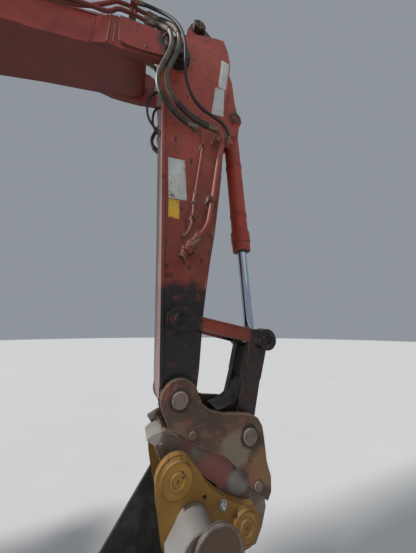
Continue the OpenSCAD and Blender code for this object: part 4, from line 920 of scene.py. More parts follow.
# Side walls and doors
# Sheet-metal bays on both sides, closed by louvred doors on loose-pin hinges, with a lever lock on each door
# and a rubber seal round its opening.
dress(body_paint, "side_walls", "radiator_door", "pump_door")
SIDE_Y = 1.48
for side, body, x0, x1, slots, left, right, lock_x, lock_z in (
        (1, "radiator_door_body", -1.86, -1.06, 9, -1.952, -0.968, -1.04, 1.73),
        (-1, "pump_door_body", -1.90, -1.12, 5, -2.002, -1.018, -1.09, 1.83)):
    face = side * (SIDE_Y - 0.002)
    for i in range(slots):
        z = 1.52 + i * 0.08
        root, lip = face - side * 0.016, face + side * 0.014
        add_slab(bm, [(x0 - 0.01, root, z + 0.022), (x1 + 0.01, root, z + 0.022),
                      (x1 + 0.01, lip, z - 0.006), (x0 - 0.01, lip, z - 0.006)], (0, 0, 0.003), 0.001)
    # Pressed stiffening ridge round the door
    ridge = [(left + 0.035, 1.425), (right - 0.035, 1.425), (right - 0.035, 2.205), (left + 0.035, 2.205)]
    add_tube(bm, [(x, face - side * 0.001, z) for x, z in ridge + ridge[:1]], 0.006, 8)
    make_piece(body + "_vanes", bm, body_paint, body)
    add_block(bm, (lock_x - 0.055, face, lock_z - 0.045),
              (lock_x + 0.055, face + side * 0.020, lock_z + 0.045), 0.006)
    add_block(bm, (lock_x - 0.045, face + side * 0.018, lock_z - 0.018),
              (lock_x + 0.015, face + side * 0.030, lock_z + 0.018), 0.005)
    make_piece(body + "_lock", bm, black_trim, body)
    add_turned(bm, (lock_x + 0.034, face + side * 0.018, lock_z), (0, side, 0),
               [(0.012, 0), (0.012, 0.006), (0.010, 0.008), (0.003, 0.008)], 20)
    for z in (1.49, 2.08):
        for end in (0, 0.09):
            add_turned(bm, (left - 0.004, side * (SIDE_Y + 0.016), z + end), (0, 0, 1 if end else -1),
                       [(0.0135, -0.001), (0.0135, 0.003), (0.009, 0.006)], 16)
        for dz in (0.025, 0.065):
            add_bolt(bm, (left + 0.042, side * (SIDE_Y + 0.020), z + dz), (0, side, 0), 0.006)
    make_piece(body + "_hinge_pins", bm, zinc, body)
for side, left, right in ((1, -1.96, -0.96), (-1, -2.01, -1.01)):
    loop = [(left - 0.006, 1.374), (right + 0.006, 1.374), (right + 0.006, 2.256), (left - 0.006, 2.256)]
    add_tube(bm, [(x, side * (SIDE_Y - 0.001), z) for x, z in loop + loop[:1]], 0.005, 8)
make_piece("door_opening_seals", bm, black_rubber, "house")

# Tanks
# The fuel tank stands in front and the hydraulic tank behind it, both welded from sheet, with caps and covers
# on top, a sight gauge at the side and tread pads to walk on.
dress(body_paint, "fuel_tank", "hydraulic_tank")
add_tread(bm, 0.12, 0.66, -1.34, -0.60, 2.28, 0.045)
add_tread(bm, -0.62, -0.50, -1.36, -0.60, 2.38, 0.045)
make_piece("tank_treads", bm, tread_steel, "house")
TANK_FACE = -1.461
for x in (0.06, 1.0, -0.69, 0.04):
    add_bead(bm, [(x, TANK_FACE, 1.34), (x, TANK_FACE, 2.17)], 0.005)
add_bead(bm, [(-0.69, TANK_FACE, 2.375), (0.04, TANK_FACE, 2.375)], 0.005)
make_piece("tank_welds", bm, body_paint, "house", 60)
# The fuel cap's ribbed rim and lid
ribs = [(0.079 if k % 2 else 0.074, a) for k, a in enumerate(turn(24))]
rings = []
for share, z in ((1, 2.292), (1, 2.322), (0.92, 2.330), (0.5, 2.332)):
    rings.append([bm.verts.new((0.78 + r * share * math.cos(a), -1.15 + r * share * math.sin(a), z))
                  for r, a in ribs])
skin(bm, rings)
add_block(bm, (0.735, -1.165, 2.330), (0.825, -1.135, 2.352), 0.006)
add_turned(bm, (-0.10, -1.25, 2.435), (0, 0, 1), [(0.052, -0.02), (0.052, 0.012), (0.040, 0.020),
                                                  (0.01, 0.021)], 24)
make_piece("tank_caps", bm, black_trim, "house")
for at in on_circle((-0.33, -1.0, 2.415), 0.108, turn(8), level=True):
    add_bolt(bm, at, (0, 0, 1), 0.010)
for z in (1.72, 1.98):
    add_turned(bm, (-0.45, -1.460, z), (0, -1, 0), [(0.016, -0.002), (0.016, 0.014), (0.012, 0.017)], 6)
make_piece("tank_bolts", bm, bolt_steel, "house")
add_tube(bm, [(-0.45, -1.470, 1.735), (-0.45, -1.470, 1.965)], 0.009, 14)
make_piece("tank_sight_tube", bm, amber_lens, "house")

# Tool box and steps
# A welded box before the tanks with a lid at its side, two folding-lock catches, a work lamp on its step and
# tread pads on top.
dress(body_paint, "tool_box")


def add_lamp_front(rim, glass, at, facing, radius):
    """A lamp's rim into one mesh, and its domed lens into another."""
    add_hoop(rim, at, facing, [(radius * 1.14, -0.012), (radius * 1.14, 0.006), (radius, 0.010),
                               (radius, -0.012)], 32)
    add_turned(glass, at, facing, [(radius, -0.004), (radius * 0.98, 0.001), (radius * 0.7, 0.006),
                                   (radius * 0.3, 0.009), (0.002, 0.010)], 32)


def filmed(name, clear, dulled, patch, uneven, gloss, **settings):
    """Glass, mirror or chrome, with a film of dust or oil that lies in patches."""
    material, bench = new_material(name)
    film = bench.place(cloudy, Size=patch, Contrast=0.3)
    bench.set("Base Color", bench.blend(film, clear, dulled))
    bench.set("Roughness", bench.maths("MULTIPLY_ADD", film, uneven, gloss))
    for label, value in settings.items():
        bench.set(label.replace("_", " "), value)
    return material, bench


# Ribbed lens over a bright bowl
lens, bench = filmed("lamp lens", (0.62, 0.63, 0.62), (0.48, 0.47, 0.43), 0.05, 0.2, 0.08, Metallic=0.3)
ribs = bench("TexWave", {"Vector": bench.here(), "Scale": 40.0, "Distortion": 0.4},
             bands_direction="Y").outputs[1]
bench.set("Normal", bench.bump(ribs, 0.5, 0.002))
add_tread(bm, 1.44, 1.82, -1.40, -0.80, 1.76, 0.045)
add_tread(bm, 1.06, 1.36, -1.40, -0.80, 2.00, 0.045)
make_piece("tool_box_treads", bm, tread_steel, "house")
add_slab(bm, [(x, -1.4595, z) for x, z in ((1.06, 1.38), (1.82, 1.38), (1.82, 1.72), (1.06, 1.72))],
         (0, -0.006, 0), 0.002)
add_tube(bm, [(1.06, -1.463, 1.372), (1.82, -1.463, 1.372)], 0.008, 10)
make_piece("tool_box_lid", bm, body_paint, "house")
for x in (1.2, 1.68):
    add_block(bm, (x - 0.025, -1.478, 1.665), (x + 0.025, -1.464, 1.735), 0.004)
add_turned(bm, (1.40, -1.10, 1.885), (1, 0, 0), [(0.072, -0.003), (0.078, 0.02), (0.078, 0.07),
                                                 (0.070, 0.078)], 28)
glass = bmesh.new()
add_lamp_front(bm, glass, (1.478, -1.10, 1.885), (1, 0, 0), 0.062)
make_piece("tool_box_fittings", bm, black_trim, "house")
make_piece("tool_box_lamp", glass, lens, "house")

# Handrails
# Bent steel tube in the body's colour, welded to small feet that are bolted down.
dress(body_paint, "handrails")
bolts = bmesh.new()
for x, y, z in ((1.78, -1.38, 1.76), (0.12, -1.38, 2.28), (-0.10, 1.44, 2.32), (-0.90, 1.44, 2.32),
                (1.82, -1.44, 1.76)):
    add_turned(bm, (x, y, z), (0, 0, 1), [(0.042, 0), (0.042, 0.006), (0.024, 0.008), (0.019, 0.018)], 20)
    for at in on_circle((x, y, z + 0.006), 0.031, (0.5, 2.6, 4.7), level=True):
        add_bolt(bolts, at, (0, 0, 1), 0.006)
make_piece("handrail_feet", bm, body_paint, "house")
make_piece("handrail_bolts", bolts, bolt_steel, "house")

# Cab
# A welded steel cab in the body's colour. Its panes sit in black rubber seals. It has a wiper, roof lamps, a
# warning beacon, a gutter over the door, and a lever handle with a lock.
dress(body_paint, "cab_shell", "cab_door")
glass_pane, _ = filmed("tinted glass", (0.70, 0.79, 0.79), (0.62, 0.70, 0.69), 0.3, 0.06, 0.02,
                       Transmission_Weight=1, IOR=1.45)
dress(glass_pane, "cab_glass", "door_glass")


def rounded_loop(corners, radius=0.04):
    """The outline with its corners rounded, closed."""
    corners = [Vector(c) for c in corners]
    loop = []
    for before, corner, after in zip(corners[-1:] + corners[:-1], corners, corners[1:] + corners[:1]):
        a = corner + (before - corner).normalized() * radius
        b = corner + (after - corner).normalized() * radius
        loop += [a * (1 - t) ** 2 + corner * 2 * t * (1 - t) + b * t * t for t in (0, 0.25, 0.5, 0.75, 1)]
    return loop + loop[:1]


DOOR_PLANE = 1.451
side_panes = (([(0.18, 2.024), (0.54, 2.024), (0.54, 2.95), (0.24, 2.95), (0.18, 2.89)], DOOR_PLANE),
              ([(0.19, 1.974), (1.78, 1.884), (1.785, 2.064), (1.67, 2.92), (1.60, 2.96), (0.23, 2.96),
                (0.19, 2.91)], 0.499))
# Windscreen, lower front pane and rear pane: two opposite corners, and the seal's radius
cross_panes = (((1.895, 0.59, 2.124), (1.779, 1.36, 2.93), 0.011),
               ((1.901, 0.61, 1.524), (1.901, 1.34, 2.004), 0.010),
               ((0.109, 0.61, 2.224), (0.109, 1.34, 2.90), 0.010))
for corners, y in side_panes:
    add_tube(bm, rounded_loop([(x, y, z) for x, z in corners]), 0.010, 8)
for (x0, y0, z0), (x1, y1, z1), radius in cross_panes:
    add_tube(bm, rounded_loop([(x0, y0, z0), (x0, y1, z0), (x1, y1, z1), (x1, y0, z1)]), radius, 8)
add_tube(bm, rounded_loop([(x, y, 3.161) for x, y in ((0.5, 0.68), (1.2, 0.68), (1.2, 1.27), (0.5, 1.27))]),
         0.012, 8)
make_piece("cab_pane_seals", bm, black_rubber, "house")
add_tube(bm, rounded_loop([(x, DOOR_PLANE, z) for x, z in ((0.69, 1.884), (1.66, 1.884), (1.665, 2.084),
                                                           (1.585, 2.89), (1.53, 2.95), (0.69, 2.95))]),
         0.010, 8)
make_piece("cab_door_seal", bm, black_rubber, "cab_door_body")
add_block(bm, (1.455, 1.450, 1.765), (1.600, 1.456, 1.850), 0.002)
add_block(bm, (1.470, 1.456, 1.795), (1.565, 1.480, 1.820), 0.007)
for z in (1.590, 1.645, 2.590, 2.645):
    add_turned(bm, (0.64, 1.480, z), (0, 1, 0), [(0.012, -0.001), (0.012, 0.004), (0.008, 0.006)], 6)
ridge = [(x, 1.4505, z) for x, z in ((0.66, 1.40), (1.67, 1.40), (1.68, 1.72), (0.66, 1.72))]
add_tube(bm, rounded_loop(ridge, 0.06), 0.005, 8)
make_piece("cab_door_handle", bm, black_trim, "cab_door_body")
add_turned(bm, (1.582, 1.456, 1.808), (0, 1, 0), [(0.010, -0.001), (0.010, 0.005), (0.008, 0.007),
                                                  (0.002, 0.006)], 18)
make_piece("cab_door_lock", bm, zinc, "cab_door_body")
gutter = [(0.58, 1.455, 2.98), (0.60, 1.462, 3.045), (1.57, 1.462, 3.045), (1.66, 1.458, 2.93)]
add_tube(bm, rounded_loop(gutter, 0.03)[5:20], 0.009, 8)
for x in (0.20, 1.50):
    add_bead(bm, [(x, 0.52, 3.159), (x, 1.43, 3.159)], 0.005)
add_hoop(bm, (0.85, 0.975, 3.160), (0, 0, 1), [(0.018, -0.001), (0.034, -0.001), (0.034, 0.020),
                                               (0.018, 0.024)], 20)
make_piece("cab_gutter_and_seams", bm, body_paint, "house")
# Wiper: motor cover, arm with a hinge, and blade
add_block(bm, (1.895, 0.66, 2.055), (1.925, 0.78, 2.115), 0.008)
add_tube(bm, [(1.920, 0.72, 2.085), (1.915, 0.722, 2.16), (1.858, 0.735, 2.55)], 0.006, 8)
blade = [Vector((1.898 - 0.143 * (z - 2.124), 0.742, z)) for z in (2.22, 2.5, 2.84)]
add_tube(bm, blade, 0.007, 6)
add_tube(bm, [p + Vector((0.012, 0, 0)) for p in blade], 0.003, 6)
for y in (0.62, 1.33):
    add_block(bm, (1.575, y - 0.012, 3.158), (1.600, y + 0.012, 3.190), 0.003)
    add_turned(bm, (1.560, y, 3.232), (1, 0, -0.12), [(0.030, 0), (0.052, 0.02), (0.056, 0.06),
                                                      (0.052, 0.066)], 28)
    glass = bmesh.new()
    add_lamp_front(bm, glass, (1.6255, y, 3.224), (1, 0, -0.12), 0.046)
    make_piece(f"cab_lamp_{'right' if y < 1 else 'left'}", glass, lens, "house")
add_turned(bm, (0.32, 0.72, 3.158), (0, 0, 1), [(0.060, 0), (0.060, 0.012), (0.048, 0.020)], 28)
make_piece("cab_wiper_and_lamps", bm, black_trim, "house")
add_turned(bm, (0.32, 0.72, 3.176), (0, 0, 1), [(0.046, 0), (0.046, 0.075), (0.042, 0.092), (0.030, 0.104),
                                                (0.004, 0.109)], 32)
make_piece("cab_beacon", bm, amber_lens, "house")

# Inside the cab
# A ribbed rubber mat, two travel pedals with their levers, a screen on an arm, and side consoles with
# gaitered joysticks. They are moulded plastic and painted steel, screwed down.
dress(black_trim, "consoles")
FLOOR = 1.364
CONSOLE_TOP = 1.884
add_block(bm, (0.20, 0.56, FLOOR), (1.82, 1.39, FLOOR + 0.006), 0.002)
for i in range(26):
    add_block(bm, (1.12 + i * 0.026, 0.60, FLOOR + 0.006), (1.131 + i * 0.026, 1.35, FLOOR + 0.009), 0.001)
make_piece("cab_mat", bm, black_rubber, "house")
for y in (0.90, 1.05):
    add_slab(bm, [(x, y + dy, FLOOR + z) for x, dy, z in ((1.60, -0.045, 0.05), (1.72, -0.045, 0.15),
                                                          (1.72, 0.045, 0.15), (1.60, 0.045, 0.05))],
             (-0.008, 0, 0.010), 0.002)
    add_tube(bm, smooth([(1.66, y, FLOOR + 0.01), (1.665, y, FLOOR + 0.12), (1.62, y, FLOOR + 0.40),
                         (1.52, y, FLOOR + 0.62)], 6), 0.008, 10)
    add_turned(bm, (1.515, y, FLOOR + 0.63), (-0.35, 0, 0.94),
               [(0.014, -0.04), (0.018, -0.01), (0.018, 0.03), (0.012, 0.045)], 16)
    add_block(bm, (1.62, y - 0.04, FLOOR + 0.004), (1.71, y + 0.04, FLOOR + 0.03), 0.008)
add_tube(bm, smooth([(1.78, 0.60, 1.95), (1.74, 0.62, 2.10), (1.70, 0.66, 2.24), (1.66, 0.70, 2.30)], 6),
         0.012, 10)
add_slab(bm, [(1.655, 0.62, 2.27), (1.675, 0.83, 2.27), (1.655, 0.83, 2.43), (1.635, 0.62, 2.43)],
         (0.035, 0, 0.004), 0.010)
for y in (0.65, 1.32):
    centre = Vector((1.23, y, CONSOLE_TOP))
    gaiter = [(0.048, 0)] + [(0.046 - 0.0028 * k - 0.005 * (k % 2), 0.008 * (k + 1))
                             for k in range(9)] + [(0.017, 0.082)]
    add_turned(bm, centre, (0, 0, 1), gaiter, 24)
    add_turned(bm, centre + Vector((0, 0, 0.185)), (0.08, 0, 1),
               [(0.022, 0), (0.031, 0.02), (0.033, 0.06), (0.036, 0.085), (0.034, 0.105), (0.020, 0.116),
                (0.004, 0.118)], 24)
    for k in range(3):
        add_turned(bm, (0.80 + k * 0.045, y + 0.03, CONSOLE_TOP), (0, 0, 1),
                   [(0.012, 0), (0.012, 0.006), (0.009, 0.008)], 14)
make_piece("cab_controls", bm, black_trim, "house")
add_slab(bm, [(1.6535, 0.632, 2.285), (1.6715, 0.818, 2.285), (1.6535, 0.818, 2.415),
              (1.6355, 0.632, 2.415)], (-0.002, 0, 0), 0.0005)
make_piece("cab_screen", bm, glass_pane, "house")

# Seat
# A sprung seat on a gaitered base. Foam cushions are covered in woven cloth with piped seams, and the side
# bolsters, the headrest and the armrests are sewn pads.


def seat_cloth():
    """Grey woven cloth, faded and dusty in patches."""
    material, bench = new_material("woven seat cloth")
    place = bench.here()
    warp = bench("TexWave", {"Vector": place, "Scale": 190.0, "Distortion": 1.0},
                 bands_direction="Y").outputs[1]
    weft = bench("TexWave", {"Vector": place, "Scale": 190.0, "Distortion": 1.0},
                 bands_direction="DIAGONAL").outputs[1]
    weave = bench.times(warp, weft)
    faded = bench.place(cloudy, Size=0.2, Contrast=0.25)
    colour = bench.blend(faded, (0.030, 0.031, 0.034), (0.060, 0.058, 0.055))
    bench.set("Base Color", bench.blend(bench.times(weave, 0.3), colour, (0.10, 0.10, 0.10)))
    bench.set("Roughness", 0.9)
    bench.set("Sheen Weight", 0.3)
    bench.set("Normal", bench.bump(weave, 0.6, 0.0008))
    return material


cloth = seat_cloth()


def add_pad(bm, centre, size, lean=0, crown=0.30, channels=0):
    """A stuffed pad: crowned faces, sides that pull in between the corners, and sewn channels across."""
    pad = bmesh.new()
    bmesh.ops.create_cube(pad, size=2)
    bmesh.ops.subdivide_edges(pad, edges=pad.edges[:], cuts=18, use_grid_fill=True)
    tilt = Matrix.Rotation(lean, 3, "Y")
    for v in pad.verts:
        u, w, h = v.co
        over = (abs(u) ** 6 + abs(w) ** 6 + abs(h) ** 2.6) ** (1 / 6)
        u, w, h = u / over, w / over, h / over**1.6
        h *= 0.72 + crown * (1 - u * u) * (1 - w * w)
        for k in range(channels):
            seam = -0.6 + 1.2 * (k + 0.5) / channels
            h *= 1 - 0.13 * math.exp(-((w - seam) / 0.05) ** 2)
        u *= 1 - 0.03 * (1 - w * w)
        w *= 1 - 0.03 * (1 - u * u)
        v.co = Vector(centre) + tilt @ Vector((u * size[0] / 2, w * size[1] / 2, h * size[2] / 2))
    sewn = bpy.data.meshes.new("pad")
    pad.to_mesh(sewn)
    pad.free()
    bm.from_mesh(sewn)
    bpy.data.meshes.remove(sewn)


def make_pad(name, *pads, fill=0.8):
    for pad in pads:
        add_pad(bm, **pad)
    piece = make_piece(name, bm, cloth, "house", 70)
    round_off = piece.modifiers.new("round off", "SUBSURF")
    round_off.levels = round_off.render_levels = 1
    return piece


BACK_LEAN = math.radians(-98.6)
bolsters = [dict(centre=(0.80, y, 1.655), size=(0.52, 0.09, 0.145), lean=-0.05) for y in (0.755, 1.205)]
cushion = make_pad("seat_cushion", dict(centre=(0.81, 0.98, 1.645), size=(0.53, 0.40, 0.155), lean=-0.05,
                                        channels=3), *bolsters)
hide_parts("seat")
bolsters = [dict(centre=(0.545, y, 2.035), size=(0.58, 0.085, 0.12), lean=BACK_LEAN)
            for y in (0.765, 1.195)]
make_pad("seat_back", dict(centre=(0.535, 0.98, 2.045), size=(0.62, 0.38, 0.125), lean=BACK_LEAN,
                           channels=3), *bolsters)
make_pad("seat_headrest", dict(centre=(0.475, 0.98, 2.455), size=(0.155, 0.25, 0.10),
                               lean=math.radians(-98)))
for side, y in (("right", 0.655), ("left", 1.305)):
    make_pad(f"armrest_{side}", dict(centre=(0.92, y, 1.908), size=(0.30, 0.085, 0.05)), fill=0.9)
for k in range(7):
    grow = 0.008 if k % 2 else -0.008
    z = FLOOR + 0.03 + k * 0.023
    add_block(bm, (0.60 - grow, 0.79 - grow, z), (1.02 + grow, 1.17 + grow, z + 0.023), 0.006)
for low, high in ((0.005, 0.032), (0.190, 0.212)):
    add_block(bm, (0.57, 0.76, FLOOR + low), (1.05, 1.20, FLOOR + high), 0.006)
for y in (0.93, 1.03):
    add_tube(bm, [(0.498, y, 2.33), (0.480, y, 2.45)], 0.007, 10)
for y in (0.725, 1.235):
    add_block(bm, (0.60, y - 0.010, FLOOR + 0.215), (0.90, y + 0.010, FLOOR + 0.245), 0.004)
make_piece("seat_base", bm, black_rubber, "house")

# Mirrors
# Black housings on bent stems, one at the cab's front corner and one over the tool box, with a silvered pane
# in each that faces the driver.
dress(black_trim, "mirrors")
mirror_glass, _ = filmed("mirror glass", (0.80, 0.82, 0.83), (0.66, 0.66, 0.64), 0.08, 0.12, 0.03,
                         Metallic=1.0)
for x, y0, y1, z0, z1 in ((1.945, 1.522, 1.638, 2.418, 2.630), (1.80, -1.490, -1.360, 2.422, 2.628)):
    add_slab(bm, [(x, y0, z0), (x, y1, z0), (x, y1, z1), (x, y0, z1)], (-0.003, 0, 0), 0.001)
make_piece("mirror_glass", bm, mirror_glass, "house")
for x, y0, y1, z0, z1 in ((1.943, 1.512, 1.648, 2.408, 2.640), (1.798, -1.498, -1.352, 2.413, 2.637)):
    add_tube(bm, rounded_loop([(x, y0, z0), (x, y1, z0), (x, y1, z1), (x, y0, z1)], 0.02), 0.005, 8)
make_piece("mirror_rims", bm, black_rubber, "house")

# Boom
# A bent box girder of welded plate, with a cast fork at its end that holds the arm's pin. Long weld seams run
# along its corners, thick doubler plates stiffen the fork, and old grease blackens it round the pins.
ARM_FOOT = TIP + Vector((-0.168, 0, 3.196))
CHORD = math.atan2((ARM_FOOT - BOOM_FOOT).z, (ARM_FOOT - BOOM_FOOT).x)


def on_boom(along, above, y=0):
    """Point along the line from the boom's foot pin to the arm's pin, and above it."""
    return BOOM_FOOT + Vector((along * math.cos(CHORD) - above * math.sin(CHORD), y,
                               along * math.sin(CHORD) + above * math.cos(CHORD)))


# The boom's paint is darkened on its down-facing plates as painted shade
boom_paint = painted_steel("faded boom paint", (0.29, 0.024, 0.012), (0.33, 0.05, 0.034),
                           (0.03, 0.015, 0.012), painted_underside_shade=0.65,
                           pins=((ARM_FOOT.x + 0.04, ARM_FOOT.z, 0.27),))
dress(boom_paint, "boom_shell", "boom_pipes")
# Middle of the boom's side, its half height and its heading, at stations along the chord
BOOM_SIDE = [(0.9, 0.310, 0.250, 19.5), (1.9, 0.665, 0.335, 18), (2.5, 0.850, 0.368, 13),
             (2.8, 0.912, 0.372, 6), (3.1, 0.930, 0.362, -2), (3.4, 0.900, 0.340, -9),
             (3.7, 0.840, 0.308, -14), (4.4, 0.628, 0.238, -16.5), (5.182, 0.383, 0.182, -16.4)]
BOOM_HALF = 0.2


def boom_edge(side, up):
    """The boom's upper or lower corner, from root to fork, on that side."""
    corner = []
    for along, above, half, heading in BOOM_SIDE:
        a = math.radians(heading + 90)
        corner.append(on_boom(along + up * half * math.cos(a), above + up * half * math.sin(a),
                              side * BOOM_HALF))
    return corner


for s in (-1, 1):
    for up in (-1, 1):
        add_bead(bm, [p - Vector((0, 0, up * 0.012)) for p in boom_edge(s, up)], 0.005, 0.02)
    # Joints of the fork's casting, and round its doubler plate
    for y, high, low, radius in ((201, (-903, 3232), (-902, 2884), 0.007),
                                 (236, (-766, 3288), (-764, 2906), 0.008),
                                 (236, (-722, 3298), (-716, 2925), 0.007)):
        add_bead(bm, arm_side(s * y, (high, low)), radius)
    add_bead(bm, arm_side(s * 237, ((-690, 3288), (-676, 3020), (-650, 2966), (-600, 2943), (-480, 2958),
                                    (-190, 3045))), 0.006)
    # Tube through which the boom cylinders' pin goes, and the lugs of the arm cylinder
    add_bead(bm, [on_boom(3.05 + 0.122 * math.cos(a), 0.72 + 0.122 * math.sin(a), s * 0.203)
                  for a in turn(40, whole=1)], 0.008)
    for y in (0.114, 0.150):
        add_bead(bm, [on_boom(a, b, s * y) for a, b in ((2.965, 1.292), (3.2, 1.284), (3.5, 1.222))], 0.006)
make_piece("boom_weld_seams", bm, boom_paint, "boom", 60)


def add_pin_head(bm, at, side, radius, bolts):
    """The end of a pin: a rounded rim with a shallow hollow, its keeper's bolts, and a grease nipple."""
    add_hoop(bm, at, (0, side, 0), [(radius, -0.001), (radius, 0.004), (radius * 0.95, 0.008),
                                    (radius * 0.70, 0.008), (radius * 0.66, 0.003),
                                    (radius * 0.66, -0.001)], 32)
    for spot in on_circle(Vector(at) + Vector((0, side * 0.001, 0)), radius * 0.42, turn(bolts, 0.5)):
        add_bolt(bm, spot, (0, side, 0), min(0.012, radius * 0.16))
    add_turned(bm, at, (0, side, 0), [(0.006, 0), (0.006, 0.008), (0.0035, 0.011), (0.0045, 0.015),
                                      (0.003, 0.019)], 10)


pin_steel = worn_metal("greasy pin steel", (0.07, 0.045, 0.035), (0.11, 0.06, 0.045), (0.02, 0.015, 0.012),
                       (0.22, 0.16, 0.12), gloss=0.4, metallic=0.4, patch=0.05)
for s in (-1, 1):
    add_pin_head(bm, ARM_FOOT + Vector((0, s * 0.286, 0)), s, 0.105, 6)
    for x, z in ((-0.28, 3.30), (-0.44, 3.02)):
        add_bolt(bm, TIP + Vector((x, s * 0.260, z)), (0, s, 0), 0.013)
    add_pin_head(bm, on_boom(3.3, 1.44, s * 0.164), s, 0.072, 3)
make_piece("boom_pin_ends", bm, pin_steel, "boom")

# Boom pipes
# Steel pipes in the machine's paint run along the boom's top, held by bolted clamp blocks, and rise to a post
# on the fork where the hoses start. They come out of a bolted manifold block.
upward = (on_boom(0.285, 0.958) - on_boom(0, 0)).normalized()
# Clamps on the boom's top: the middle of its side there, along and above the chord, and its half height
CLAMPS = ((3.55, 0.87, 0.324), (4.1, 0.71886, 0.268), (4.8, 0.50268, 0.209))
for s in (-1, 1):
    for along, above, half in CLAMPS:
        top = on_boom(along + 0.285 * half, above + 0.958 * half, s * 0.220)
        add_bolt(bm, top + upward * 0.070, upward, 0.010)
    for z in (3.590, 3.637, 3.418, 3.452):
        add_bolt(bm, TIP + Vector((-0.5975, s * 0.260, z)), (0, s, 0), 0.009)
make_piece("boom_pipe_bolts", bm, bolt_steel, "boom")
for s in (-1, 1):
    for x, y, z in ((-470, 202, 3611), (-492, 238, 3430)):
        add_turned(bm, by_arm(x, s * y, z), (1, 0, 0), [(0.019, -0.002), (0.025, 0), (0.025, 0.012),
                                                        (0.019, 0.014)], 6)
    # Manifold where the pipes start
    outline = ((2.40, 1.228, 0.18), (2.56, 1.222, 0.18), (2.56, 1.222, 0.262), (2.40, 1.228, 0.262))
    add_slab(bm, [on_boom(along, above, s * y) for along, above, y in outline],
             (on_boom(0, 1) - on_boom(0, 0)).normalized() * 0.062, 0.004)
make_piece("boom_pipe_nuts", bm, boom_paint, "boom")

# Boom lamp
# A work lamp on the boom's left side: a black housing with a ribbed back, a chromed bowl and a glass lens.
dress(black_trim, "boom_lamp")
rim = bmesh.new()
ahead = (on_boom(1, 0) - on_boom(0, 0)).normalized()
add_lamp_front(rim, bm, on_boom(2.692, 0.98, 0.275), ahead, 0.040)
make_piece("boom_lamp_rim", rim, black_trim, "boom")
make_piece("boom_lamp_lens", bm, lens, "boom")

# Hydraulic cylinders
# Each is a painted steel barrel with a bolted gland at its mouth, a steel pipe along it to the gland's port,
# and a chromed rod, bright where the gland wipes it.
# The cylinders' paint is darkened on faces that look down as painted shade
cylinder_paint = painted_steel("cylinder paint", (0.35, 0.034, 0.018), (0.37, 0.065, 0.04),
                               (0.04, 0.02, 0.016), bare=0.35, chipping=0.25, gloss=0.4, painted_underside_shade=0.2)
dress(cylinder_paint, "boom_barrel_left", "boom_barrel_right", "arm_barrel", "bucket_barrel")
# Hard chrome with fine polishing lines and a film of oil, its colour tinted blue as a painted reflection of
# the sky
rod_chrome, bench = filmed("chromed rod", (0.60, 0.66, 0.75), (0.50, 0.56, 0.66), 0.2, 0.06, 0.07,
                           Metallic=1.0)
bench.set("Normal", bench.bump(bench.noise(bench.here(), 900.0, 2), 0.05, 0.0002))
dress(rod_chrome, "boom_rod_left", "boom_rod_right", "arm_rod", "bucket_rod")
BUCKET_HEAD = TIP + Vector((0.554, 0, 2.747))
LINK_PIN = TIP + Vector((0.685, 0, 0.361))
ARM_ROD_PIN = TIP + Vector((0.115, 0, 3.990))


def fit_cylinder(name, near, far, y, radius, eye, length, rod, pipe_way, port=0.075):
    """Gland bolts, wiper, ports and pipe of one cylinder, from its base pin toward its far pin; port is the
    distance from its neck to its first port."""
    along = (far - near).normalized()
    start = near + Vector((0, y, 0))
    out = Vector(pipe_way)
    out = (out - along * out.dot(along)).normalized()
    across = along.cross(out)
    mouth = start + along * length
    for a in turn(10, 0.5):
        add_bolt(bm, mouth + (radius + rod) * 0.52 * (math.cos(a) * out + math.sin(a) * across), along,
                 0.011)
    make_piece(name + "_gland_bolts", bm, bolt_steel, name)
    add_hoop(bm, mouth, along, [(rod + 0.003, -0.004), (rod + 0.012, -0.004), (rod + 0.012, 0.006),
                                (rod + 0.004, 0.011), (rod + 0.0015, 0.008)], 32)
    make_piece(name + "_wiper", bm, black_rubber, name)
    neck = eye + 0.05
    lift = radius + 0.034
    for reach in (neck + port, length - 0.045):
        spot = start + along * reach
        corners = [spot + along * a * 0.03 + across * b * 0.03 + out * (radius - 0.006)
                   for a, b in BLOCK_CORNERS]
        add_slab(bm, corners, out * 0.052, 0.005)
    first, last = start + along * (neck + port + 0.02), start + along * (length - 0.07)
    add_tube(bm, smooth([first + out * (lift - 0.012), first + along * 0.03 + out * lift,
                         first + along * 0.10 + out * lift, last - along * 0.10 + out * lift,
                         last - along * 0.03 + out * lift, last + out * (lift - 0.012)], 5), 0.010, 12)
    for share in (0.3, 0.72):
        spot = start + along * (neck + (length - neck) * share)
        add_hoop(bm, spot, along, [(radius - 0.001, -0.014), (radius + 0.005, -0.014),
                                   (radius + 0.005, 0.014), (radius - 0.001, 0.014)], 48)
        corners = [spot + along * a * 0.018 + across * b * 0.02 + out * (radius + 0.002)
                   for a, b in BLOCK_CORNERS]
        add_slab(bm, corners, out * 0.050, 0.003)
    # Weld round the barrel's closed end
    middle = start + along * (neck + 0.002)
    add_bead(bm, [middle + (radius - 0.003) * (math.cos(a) * out + math.sin(a) * across)
                  for a in turn(40, whole=1)], 0.007)
    make_piece(name + "_pipe", bm, cylinder_paint, name, 45)


BOOM_ROD_PIN = on_boom(3.05, 0.72)
BARREL_Y = 0.38
for s, name in ((1, "boom_barrel_l"), (-1, "boom_barrel_r")):
    fit_cylinder(name, BOOM_BASE, BOOM_ROD_PIN, s * BARREL_Y, 0.090, 0.095, 1.85, 0.050, (0, 0, 1))
fit_cylinder("arm_barrel_body", on_boom(3.3, 1.44), ARM_ROD_PIN, 0, 0.100, 0.095, 2.35, 0.057, (0, 1, 0.4))
fit_cylinder("bucket_barrel_body", BUCKET_HEAD, LINK_PIN, 0, 0.083, 0.080, 1.552, 0.045, (0.2, 1, 0), 0.22)
for s, body in ((1, "boom_rod_l"), (-1, "boom_rod_r")):
    add_pin_head(bm, BOOM_ROD_PIN + Vector((0, s * 0.438, 0)), s, 0.062, 3)
    make_piece(body + "_pin_end", bm, pin_steel, body)
